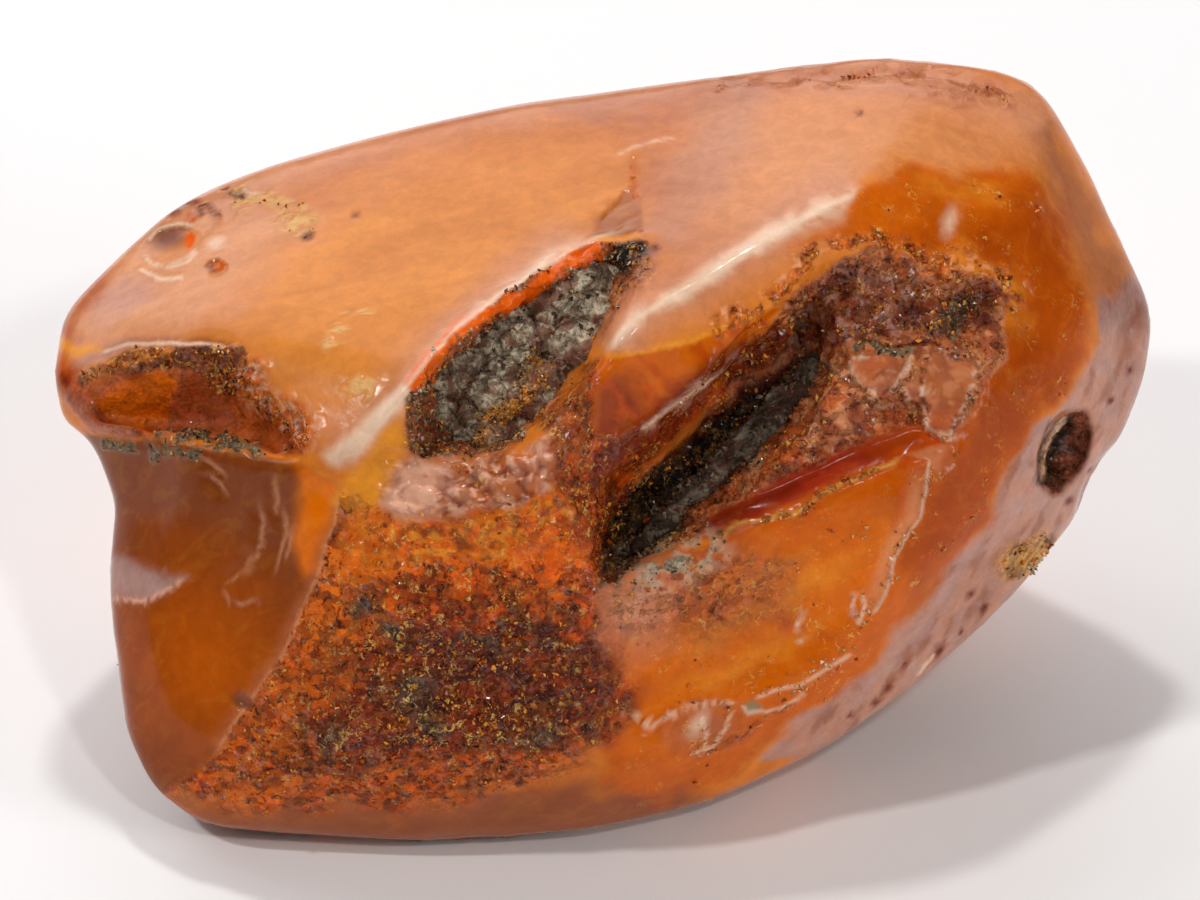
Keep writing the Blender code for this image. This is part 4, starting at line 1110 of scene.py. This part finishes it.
def shape_lower_right(form):
    for spot, radius in SMALL_PITS:
        form.dish(spot, radius, 0.35, 1.6, 50)
        form.spot(spot, radius, MAROON, 1.5, 1.6, 50)
    form.dish(OVAL_CHIP, 2.2, 0.5, 1.6, 12)
    form.spot(OVAL_CHIP, 3, FLESH, 1.2, 1.6, 12)
    # A painted highlight in the chip.
    form.spot((8.8, -24.5), 1, PAINTED_HIGHLIGHT, 0.9, 2, 60)
    for path in FLAKE_EDGES:
        form.step(path, 0.3, 1.6, 0.3)
        form.crest(path, 0.5, 0.2)
        # A painted highlight along each flake edge.
        form.line(path, 0.3, PAINTED_HIGHLIGHT, 0.75, 0.1)
    form.coarsen(form.band([(8.1, -27.2), (12.6, -25.9), (15.3, -23.6), (18, -22.1)], 0.8, 0.5), 0.6, 0.9)
    hollow = form.region(RIGHT_HOLLOW, 1, 0.25)
    form.push(1.5 * hollow)
    form.glaze(hollow, PLUM, 0.9)
    # Painted shade along the hollow's deep side.
    form.line([(40.1, -3.4), (40.2, -0.4), (41.3, 1.8), (42.5, 2.9)], 1.3, PAINTED_SHADE, 1.3, 0.3)
    form.patches(hollow, 1.2, 79, UMBER, 0.8, 0.2)
    form.coarsen(hollow, 0.8, 0.1)
    form.roughen(hollow, (0.25, 1.4, 51, 3))
    # A painted highlight on the hollow's rim.
    form.line([(39.8, -3.1), (40, -0.2), (41, 2), (42.1, 3.2)], 0.35, PAINTED_HIGHLIGHT, 0.9)
    form.dish((38.7, -0.3), 0.9, 0.5, 1.2, 60)
    slot = form.region(RIGHT_SLOT, 0.7, 0.15)
    form.push(0.9 * slot)
    # The slot's umber is painted shade.
    form.glaze(slot, UMBER, 1.1)
    form.dish((47.2, 10.1), 0.7, 0.4, 2.8, 75)
    form.dish((31.3, 20.5), 0.65, 0.35, 2.6, 75)
    # A painted highlight in the small pit.
    form.spot((31.3, 20.5), 0.9, PAINTED_HIGHLIGHT, 0.9, 2.4, 75)


# ---------------------------------------------------------------- the unseen sides


def finish_sides(form):
    """Patches of old brown skin, worn pits and clear honey-coloured faces on the back and the underside."""
    hidden = 1 - form.front
    cover = layered(form.points, 22, 70, 3)
    skin = ease((cover + 0.05) / 0.25) * hidden
    form.glaze(hidden, HONEY)
    form.glaze(ease(0.5 - layered(form.points, 16, 90, 2)) * hidden, ORANGE, 0.7)
    form.glaze(skin, BROWN, 0.85)
    stain = ease((layered(form.points, 7, 33, 4) - 0.1) / 0.4) * skin
    form.glaze(stain, UMBER, 0.7)
    form.coarsen(skin, 0.8, 0.6)
    form.roughen(skin, (0.2, 3, 41, 3), (0.16, 1.8, 44, 1))


# ---------------------------------------------------------------- materials


class Look:
    """A material's node tree, written as short calls. Texture sizes are in millimetres."""

    def __init__(self, name):
        self.material = bpy.data.materials.new(name)
        self.material.use_nodes = True
        self.tree = self.material.node_tree
        self.shader = self.tree.nodes["Principled BSDF"]
        place = self.node("TexCoord", {})["Object"]
        self.place = self.node("VectorMath", {0: place, "Scale": 1 / MM}, operation="SCALE")[0]

    def feed(self, socket, value):
        if isinstance(value, bpy.types.NodeSocket):
            self.tree.links.new(value, socket)
        else:
            socket.default_value = (*value, 1) if socket.type == "RGBA" else value

    def node(self, kind, inputs, **settings):
        """Adds a node with these settings and inputs, and gives its outputs."""
        node = self.tree.nodes.new("ShaderNode" + kind)
        for name, value in settings.items():
            setattr(node, name, value)
        for socket, value in inputs.items():
            self.feed(node.inputs[socket], value)
        return node.outputs

    def skin(self, **sockets):
        """Sets the shader's inputs, named in small letters with underscores."""
        names = {socket.name.lower().replace(" ", "_"): socket for socket in self.shader.inputs}
        for name, value in sockets.items():
            self.feed(names[name], value)

    def mask(self, name, output="Fac"):
        return self.node("Attribute", {}, attribute_name=name)[output]

    def noise(self, size, detail=4, roughness=0.6, distortion=0, place=None):
        shape = {"Scale": 1 / size, "Detail": detail, "Roughness": roughness, "Distortion": distortion}
        return self.node("TexNoise", {"Vector": place or self.place, **shape})["Fac"]

    def cells(self, size, output="Distance", place=None):
        return self.node("TexVoronoi", {"Vector": place or self.place, "Scale": 1 / size})[output]

    def shifted(self, amount):
        """The same coordinates from another place, so that two noises don't match."""
        return self.node("VectorMath", {0: self.place, 1: (amount, 2.7 * amount, -1.9 * amount)})[0]

    def turned(self, degrees, scale):
        """Coordinates drawn out along a line that climbs by `degrees` to the right."""
        turn = {"Rotation": (0, -math.radians(degrees), 0), "Scale": [1 / share for share in scale]}
        return self.node("Mapping", {"Vector": self.place, **turn}, vector_type="TEXTURE")[0]

    def math(self, operation, first, second):
        return self.node("Math", {0: first, 1: second}, operation=operation, use_clamp=True)[0]

    def times(self, first, second):
        return self.math("MULTIPLY", first, second)

    def ragged(self, mask, texture):
        """The mask with its border moved to and fro by the texture."""
        return self.math("ADD", mask, self.math("SUBTRACT", texture, 0.5))

    def between(self, value, low, high, start=0, end=1):
        reach = {"Value": value, "From Min": low, "From Max": high, "To Min": start, "To Max": end}
        return self.node("MapRange", reach, interpolation_type="SMOOTHSTEP")["Result"]

    def mix(self, share, first, second, blend="MIX"):
        colours = {"Factor": share, 6: first, 7: second}
        return self.node("Mix", colours, data_type="RGBA", blend_type=blend)[2]

    def multiply(self, first, second):
        return self.mix(1, first, second, "MULTIPLY")

    def blend(self, share, first, second):
        return self.node("Mix", {"Factor": share, 2: first, 3: second})[0]

    def bump(self, height, strength, distance, below=None):
        inputs = {"Strength": strength, "Distance": distance * MM, "Height": height}
        if below:
            inputs["Normal"] = below
        return self.node("Bump", inputs)["Normal"]


def amber_material():
    """Cloudy resin under a glossy skin, broken, flecked and dusty where the masks say so."""
    look = Look("amber_resin")
    tint = look.mask("tint", "Color")
    rough, flecks, dust = look.mask("rough"), look.mask("flecks"), look.mask("dust")
    drift = look.turned(24, (0.35, 1, 0.7))
    clouds = look.between(look.noise(9, 5, 0.6, 0.7, drift), 0.38, 0.66)
    redder = look.multiply(tint, (0.66, 0.52, 0.4))
    colour = look.mix(look.times(clouds, 0.45), tint, redder)
    veins = look.between(look.noise(2.6, 6, 0.65, 1.4, drift), 0.5, 0.62)
    colour = look.mix(look.times(veins, 0.05), colour, srgb(255, 190, 70))
    mottle = look.between(look.noise(1.5, 6, 0.7, 0.5), 0.35, 0.65)
    patchy = look.mix(mottle, (0.94, 0.91, 0.88), (1.08, 1.07, 1.06))
    colour = look.multiply(colour, patchy)
    coarse = look.between(look.ragged(rough, look.noise(1.4, 6, 0.7, 0.8)), 0.15, 0.75)
    scales = look.cells(0.7, "Color", look.turned(8, (0.7, 1, 1)))
    tone = look.mix(look.between(scales, 0.1, 0.9), (0.5, 0.38, 0.3), (1.3, 1.2, 1.1))
    colour = look.mix(coarse, colour, look.multiply(colour, tone))
    grain = look.noise(0.9, 6, 0.75, 0.9)
    # Darker in the dips of the grain's bump on rough areas: painted shade in the crevices.
    crevice_shade = look.times(look.between(grain, 0.46, 0.4), coarse)
    dark = look.multiply(colour, srgb(96, 52, 44))
    colour = look.mix(look.times(crevice_shade, 0.9), colour, dark)
    grime = look.between(look.noise(1.1, 6, 0.75, 1.2, look.shifted(5)), 0.55, 0.59)
    colour = look.mix(look.times(grime, look.times(flecks, 0.7)), colour, srgb(160, 106, 44))
    bits = look.between(look.noise(0.7, 4, 0.8, 0.9, look.shifted(9)), 0.56, 0.585)
    clumps = look.between(look.noise(3.2, 5, 0.7, 0.6, look.shifted(2)), 0.42, 0.56, 0.1, 1)
    shown = look.times(look.times(bits, clumps), flecks)
    golds = look.between(look.noise(1.3, 2, 0.5), 0.4, 0.6)
    colour = look.mix(shown, colour, look.mix(golds, srgb(240, 146, 34), srgb(250, 204, 112)))
    grit = look.noise(0.7, 7, 0.75, 0.3)
    earthy = look.mix(look.between(grit, 0.36, 0.6), srgb(128, 116, 104), srgb(255, 252, 244))
    cover = look.between(look.ragged(dust, grit), 0.2, 0.5)
    colour = look.mix(cover, colour, look.multiply(tint, earthy))
    smudge = look.between(look.noise(7, 5, 0.65, 1.2), 0.3, 0.75, 0.1, 0.22)
    gloss = look.blend(coarse, smudge, look.between(grain, 0.4, 0.6, 0.16, 0.42))
    gloss = look.blend(cover, gloss, 0.9)
    normal = look.bump(look.times(look.cells(0.5), rough), 0.9, 0.25)
    normal = look.bump(look.times(grain, rough), 0.8, 0.4, normal)
    normal = look.bump(look.noise(3.5, 8, 0.62, 0.5), 0.2, 0.12, normal)
    normal = look.bump(look.noise(0.45, 4, 0.6), 0.25, 0.03, normal)
    glints = look.between(look.noise(0.6, 4, 0.7, 0.8, look.shifted(7)), 0.52, 0.58)
    look.skin(base_color=colour, roughness=gloss, normal=normal)
    look.skin(coat_weight=look.times(glints, coarse), coat_roughness=0.1)
    look.skin(ior=AMBER_IOR, transmission_weight=0.06, specular_ior_level=0.13)
    return look.material


def sediment_material(name, dryness):
    """Grey earth with darker damp hollows and rusty crumbs; it pales as `dryness` nears 1."""
    look = Look(name)
    grit = look.between(look.noise(0.9, 8, 0.8, 0.6), 0.4, 0.6)
    colour = look.mix(grit, srgb(140, 124, 98), srgb(250, 236, 204))
    hollows = look.between(look.noise(2, 6, 0.75, 1, look.shifted(4)), 0.4, 0.52)
    colour = look.multiply(colour, look.mix(hollows, srgb(140, 124, 112), (1, 1, 1)))
    stain = look.between(look.noise(3, 4, 0.6, 0.8), 0.5, 0.56)
    colour = look.mix(look.times(stain, 0.75), colour, srgb(150, 96, 76))
    damp = look.multiply(colour, srgb(96, 82, 74))
    colour = look.multiply(look.mix(dryness, damp, colour), look.mask("tint", "Color"))
    look.skin(base_color=colour, roughness=0.92, normal=look.bump(look.noise(0.5, 8, 0.8), 0.9, 0.3))
    return look.material


def grain_material(name, slot):
    look = Look(name + "_grain")
    tint = look.mask("tint", "Color")
    patches = look.between(look.noise(0.3, 3, 0.6), 0.4, 0.6)
    look.skin(base_color=look.mix(patches, look.multiply(tint, srgb(186, 170, 160)), tint))
    smoothest, dullest, shine = GLOSSY_GRAIN if slot == "amber" else DULL_GRAIN
    look.skin(roughness=look.between(patches, 0, 1, smoothest, dullest))
    look.skin(ior=AMBER_IOR, specular_ior_level=shine)
    return look.material


# ---------------------------------------------------------------- pieces


def amber_crumbs(form):
    """Grains broken from the crust and the hollows' edges, and dry earth caught in the gash."""
    cluster = ease(layered(form.points, 2.4, 77, 3) * 1.5 + 0.3)
    golden = np.clip(form.flecks - 0.2, 0, 1) * cluster * (form.front > 0.3)
    rusty = (GOLD, GOLD, TAN, BROWN, RUST, ORANGE)
    grains("crust_grains", form, 0.8 * golden, (0.1, 0.36), rusty, "amber", 5)
    # Real crumbs along the crack and flake edges; their near-white colours are partly painted highlight.
    glints = sum(form.band(path, 0.7, 0.5) for path in (CRACK, *FLAKE_EDGES[6:12]))
    glints = form.broken(np.clip(glints, 0, 1), 1, 85, 0.3)
    grains("glints", form, 0.7 * glints, (0.08, 0.3), (PAINTED_HIGHLIGHT, CREAM, PEACH, GOLD), "amber", 7)
    earthy = form.dust * (form.front > 0.3)
    grains("earth_grains", form, 0.8 * earthy, (0.12, 0.36), (DUST, DUST, CHALK, ASH, TAN), "sediment", 6)


def amber_surface(obj):
    form = Surface(obj)
    finish_sides(form)
    colour_upper_face(form)
    colour_lower_right(form)
    crust = colour_crust(form)
    left = colour_left(form)
    pocket = colour_pocket(form)
    gash = colour_gash(form)
    form.refresh()
    shape_upper_face(form)
    chip_upper_left(form)
    flake_rim(form)
    shape_crust(form, crust)
    shape_left(form, *left)
    shape_pocket(form, *pocket)
    shape_gash(form, *gash)
    shape_lower_right(form)
    form.refresh()
    form.store()
    amber_crumbs(form)


FINE_PATHS = [POCKET_EDGE, JAG_EDGE, CRACK, BAND_EDGE, JAGGED, LIP_EDGE]
FINE_OUTLINES = [LIP_WALL, POCKET, SHELF, CHIP_ABOVE]
BUSY_PATHS = [RIM_BREAK, RIDGE_LEFT, RIDGE_RIGHT, *CRESCENTS]
BUSY_OUTLINES = [
    CRUST, STRIP, PINK_FOLDS, ORANGE_FACET, GLARE, CORNER_CHIP, STRIATED,
    [(-42.3, 23.4), (-25.2, 23.4), (-24.3, 15.3), (-42.3, 14.8)],
    [(4.5, -21.6), (15.3, -17.1), (24.3, -17.1), (14.4, -28.8), (5.4, -27.9)],
    [(36.9, 5.4), (49, 5.4), (45, -7.2), (36.9, -5.4)],
    [(21.6, -11.7), (25.2, -10.8), (25.2, -17.1), (21.6, -17.1)],
]


def polish(obj):
    """Smooths the glossy faces and thins out the mesh, most of all where nothing fine is to be shaped."""
    form = Surface(obj)
    rough = np.clip(sum(form.region(outline, 1, 0) for outline in (LIP_WALL, POCKET, SHELF)), 0, 1)
    set_group(obj, "glossy", 1 - rough)
    smooth(obj, FACET_PASSES)
    smooth(obj, POLISH_PASSES, "glossy")
    fine = sum(form.band(path, 1, 0, 0) for path in FINE_PATHS)
    fine += sum(form.region(outline, 1, 0) for outline in FINE_OUTLINES)
    busy = sum(form.band(path, 2, 0, 0) for path in BUSY_PATHS)
    busy += sum(form.region(outline, 1.5, 0) for outline in BUSY_OUTLINES)
    spare = np.where(form.front > 0.5, SPARE_FRONT, SPARE_BACK)
    spare = spare + (SPARE_BUSY - spare) * np.clip(busy, 0, 1)
    set_group(obj, "spare", spare * (1 - np.clip(fine, 0, 1)))
    thin_out(obj, AMBER_TRIANGLES, "spare")


def amber_piece():
    obj = copy_of_node("amber_piece", "amber")
    remesh(obj, AMBER_VOXEL)
    polish(obj)
    amber_surface(obj)
    obj.vertex_groups.clear()
    obj.data.materials.append(amber_material())
    obj.data.shade_smooth()
    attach(obj, "root")
    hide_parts("amber")


CRUMB_CORNERS = np.array(((1, 0, 0), (-1, 0, 0), (0, 1, 0), (0, -1, 0), (0, 0, 1), (0, 0, -1)), float)
CRUMB_FACES = np.array(
    ((0, 2, 4), (2, 1, 4), (1, 3, 4), (3, 0, 4), (2, 0, 5), (1, 2, 5), (3, 1, 5), (0, 3, 5)),
)
CRUMB_STRETCH = (0.55, 1.3)
CRUMB_FLATNESS = np.array((1, 0.75, 0.5))
CRUMB_RAGGEDNESS = 0.18  # how far corners stray, as a share of the crumb's radius
CRUMB_DRIFT = 0.15  # how far a crumb strays along the surface
CRUMB_LIFT = 0.25  # how far its middle stands out, as a share of its radius
CRUMB_TONES = (0.7, 1.15)


def grains(name, form, chance, size, palette, slot, seed):
    """Loose angular crumbs, each sunk a little into the surface where `chance` (crumbs per point) puts it."""
    pick = np.random.default_rng(seed)
    homes = np.repeat(np.arange(len(form.points)), pick.poisson(chance))
    count = len(homes)
    radius = size[0] + (size[1] - size[0]) * pick.random(count) ** 2
    spread = radius[:, None, None]
    crumbs = CRUMB_CORNERS * pick.uniform(*CRUMB_STRETCH, (count, 6, 3)) * CRUMB_FLATNESS * spread
    crumbs += pick.normal(0, CRUMB_RAGGEDNESS, (count, 6, 3)) * spread
    turns = np.linalg.qr(pick.normal(0, 1, (count, 3, 3)))[0]
    turns[:, :, 0] *= np.linalg.det(turns)[:, None]
    crumbs = np.einsum("nij,nkj->nki", turns, crumbs)
    drift = pick.normal(0, CRUMB_DRIFT, (count, 3))
    drift -= np.sum(drift * form.normals[homes], axis=1)[:, None] * form.normals[homes]
    middle = form.points[homes] + drift + form.normals[homes] * (CRUMB_LIFT * radius)[:, None]
    points = (crumbs + middle[:, None, :]).reshape(-1, 3)
    mesh = bpy.data.meshes.new(name)
    faces = (CRUMB_FACES[None] + 6 * np.arange(count)[:, None, None]).reshape(-1, 3)
    world = np.clip(to_world(points), *np.array(cad_box))
    mesh.from_pydata(world, [], faces)
    shade = np.asarray(palette)[pick.integers(0, len(palette), count)]
    shade = np.clip(shade * pick.uniform(*CRUMB_TONES, (count, 1)), 0, 1)
    shade = np.repeat(np.c_[shade, np.ones(count)], 6, axis=0)
    tint = mesh.attributes.new("tint", "FLOAT_COLOR", "POINT")
    tint.data.foreach_set("color", shade.astype(np.float32).ravel())
    obj = add_object(name, mesh)
    obj.data.materials.append(grain_material(name, slot))
    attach(obj, "root")


EARTH_PLUM = (0.3, 0.19, 0.17)
EARTH_ROSE = (0.62, 0.4, 0.34)
POCKET_SLOPE = [(-14.4, -2.2), (-10.8, -1.1), (-7.2, 1.8), (-3.6, 5.8), (0, 10.8), (3.6, 16.2)]
# Squeezes the noise along the hollows, which run up to the right, so that lumps come out as ridges.
ALONG_HOLLOWS = np.array(((0.45, 0, -0.8), (0, 1, 0), (0.28, 0, 1.1)))


def sediment_piece(name, node, material, seed, spread, lift):
    obj = copy_of_node(name, node)
    remesh(obj, EARTH_VOXEL)
    points = read(obj, "co") / MM
    normals = read(obj, "normal")
    sideways = normals - (normals @ OUT)[:, None] * OUT
    ridged = points @ ALONG_HOLLOWS
    height = lift + 0.7 * layered(ridged, 2.2, seed, 5) + 0.25 * shards(ridged, 0.9, seed, 1.2)
    write_points(obj, (points + sideways * spread + OUT * height[:, None]) * MM)
    obj.data.materials.append(material)
    obj.data.shade_smooth()
    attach(obj, "root")
    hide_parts(node)
    form = Surface(obj)
    form.tint[:] = 1
    form.patches(form.band(POCKET_WALL, 2.4, 0.5, 0.02), 1.6, 46, EARTH_PLUM, 0.9, 0.6)
    form.spot((1.8, 16.9), 2.6, EARTH_PLUM, 1.4, 1.6, 30)
    form.patches(form.band(POCKET_SLOPE, 2.6, 0.5), 1.8, 45, EARTH_ROSE, 0.9, 0.7)
    form.line(GOLD_FLECKS, 1.3, GOLD, 0.6, 0.4)
    form.store()
    loose = 0.1 * (form.front > 0.5)
    grains(name + "_crumbs", form, loose, (0.12, 0.42), (DUST, DUST, ASH, SLATE, MAUVE), "sediment", 9)
    golden = form.broken(form.band(GOLD_FLECKS, 1.7, 0.5), 1.2, 38, 0.7)
    if golden.max() > 0.2:
        grains(name + "_gold", form, 2 * golden, (0.16, 0.45), (TAN, GOLD, TAN, CREAM), "amber", 11)


# ---------------------------------------------------------------- stage


def aim(obj, direction, distance):
    """Puts a lamp or the camera toward `direction` from the lump's centre, facing it."""
    toward = Vector(direction).normalized()
    obj.location = Vector(FACE_ORIGIN * MM) + toward * distance
    obj.rotation_euler = (-toward).to_track_quat("-Z", "Y").to_euler()


LIGHTS = (
    # name, direction, distance, width, height, glow, colour
    ("sky", (-0.35, 0.72, 0.6), 1, 1.3, 0.8, 1.9, (0.98, 0.97, 1)),
    ("key", (-0.03, 0.4, 0.92), 0.9, 0.07, 0.07, 145, WARM_WHITE),
    ("left", (-0.6, -0.28, 0.75), 0.9, 0.06, 0.06, 190, WARM_WHITE),
    ("front", (0.25, -0.66, 0.7), 0.9, 0.06, 0.06, 110, WARM_WHITE),
    ("side", (0.86, -0.42, 0.3), 0.9, 0.3, 0.3, 9, (1, 0.97, 0.94)),
)


def area_light(name, direction, distance, width, height, glow, colour):
    """A softbox that faces the lump from `direction`; `glow` is its brightness, with white paper at 1."""
    lamp = bpy.data.lights.new(name, "AREA")
    lamp.shape = "RECTANGLE"
    lamp.size = width
    lamp.size_y = height
    lamp.energy = glow * math.pi * width * height
    lamp.color = colour
    aim(add_object(name, lamp), direction, distance)


def lay_floor():
    mesh = bpy.data.meshes.new("floor")
    corners = [(-FLOOR_REACH, -FLOOR_REACH, 0), (FLOOR_REACH, -FLOOR_REACH, 0)]
    corners += [(-x, -y, 0) for x, y, _ in corners]
    mesh.from_pydata(corners, [], [(0, 1, 2, 3)])
    plain = bpy.data.materials.new("floor_pale")
    plain.use_nodes = True
    shader = plain.node_tree.nodes["Principled BSDF"].inputs
    shader["Base Color"].default_value = (0.96, 0.96, 0.96, 1)
    shader["Roughness"].default_value = 0.8
    mesh.materials.append(plain)
    floor = add_object("floor", mesh)


def studio():
    lay_floor()
    world = bpy.data.worlds.new("studio")
    world.use_nodes = True
    sky = world.node_tree.nodes["Background"].inputs
    sky["Color"].default_value = (0.95, 0.96, 1, 1)
    sky["Strength"].default_value = WALL_GLOW
    bpy.context.scene.world = world
    for light in LIGHTS:
        area_light(*light)
    view = bpy.data.cameras.new("camera")
    view.sensor_width = SENSOR_WIDTH
    view.lens = SENSOR_WIDTH * CAMERA_DISTANCE / FIELD_WIDTH
    view.clip_start = 0.05
    camera = add_object("camera", view)
    aim(camera, OUT, CAMERA_DISTANCE)
    bpy.context.scene.camera = camera
    bpy.context.scene.view_settings.view_transform = "Standard"


studio()
amber_piece()
sediment_piece("pocket_earth", "pocket_sediment", sediment_material("dry_earth", 1), 2, 1.6, 0.1)
sediment_piece("cleft_earth", "cleft_sediment", sediment_material("damp_earth", 0.25), 8, 0.1, -0.7)

bpy.context.view_layer.update()
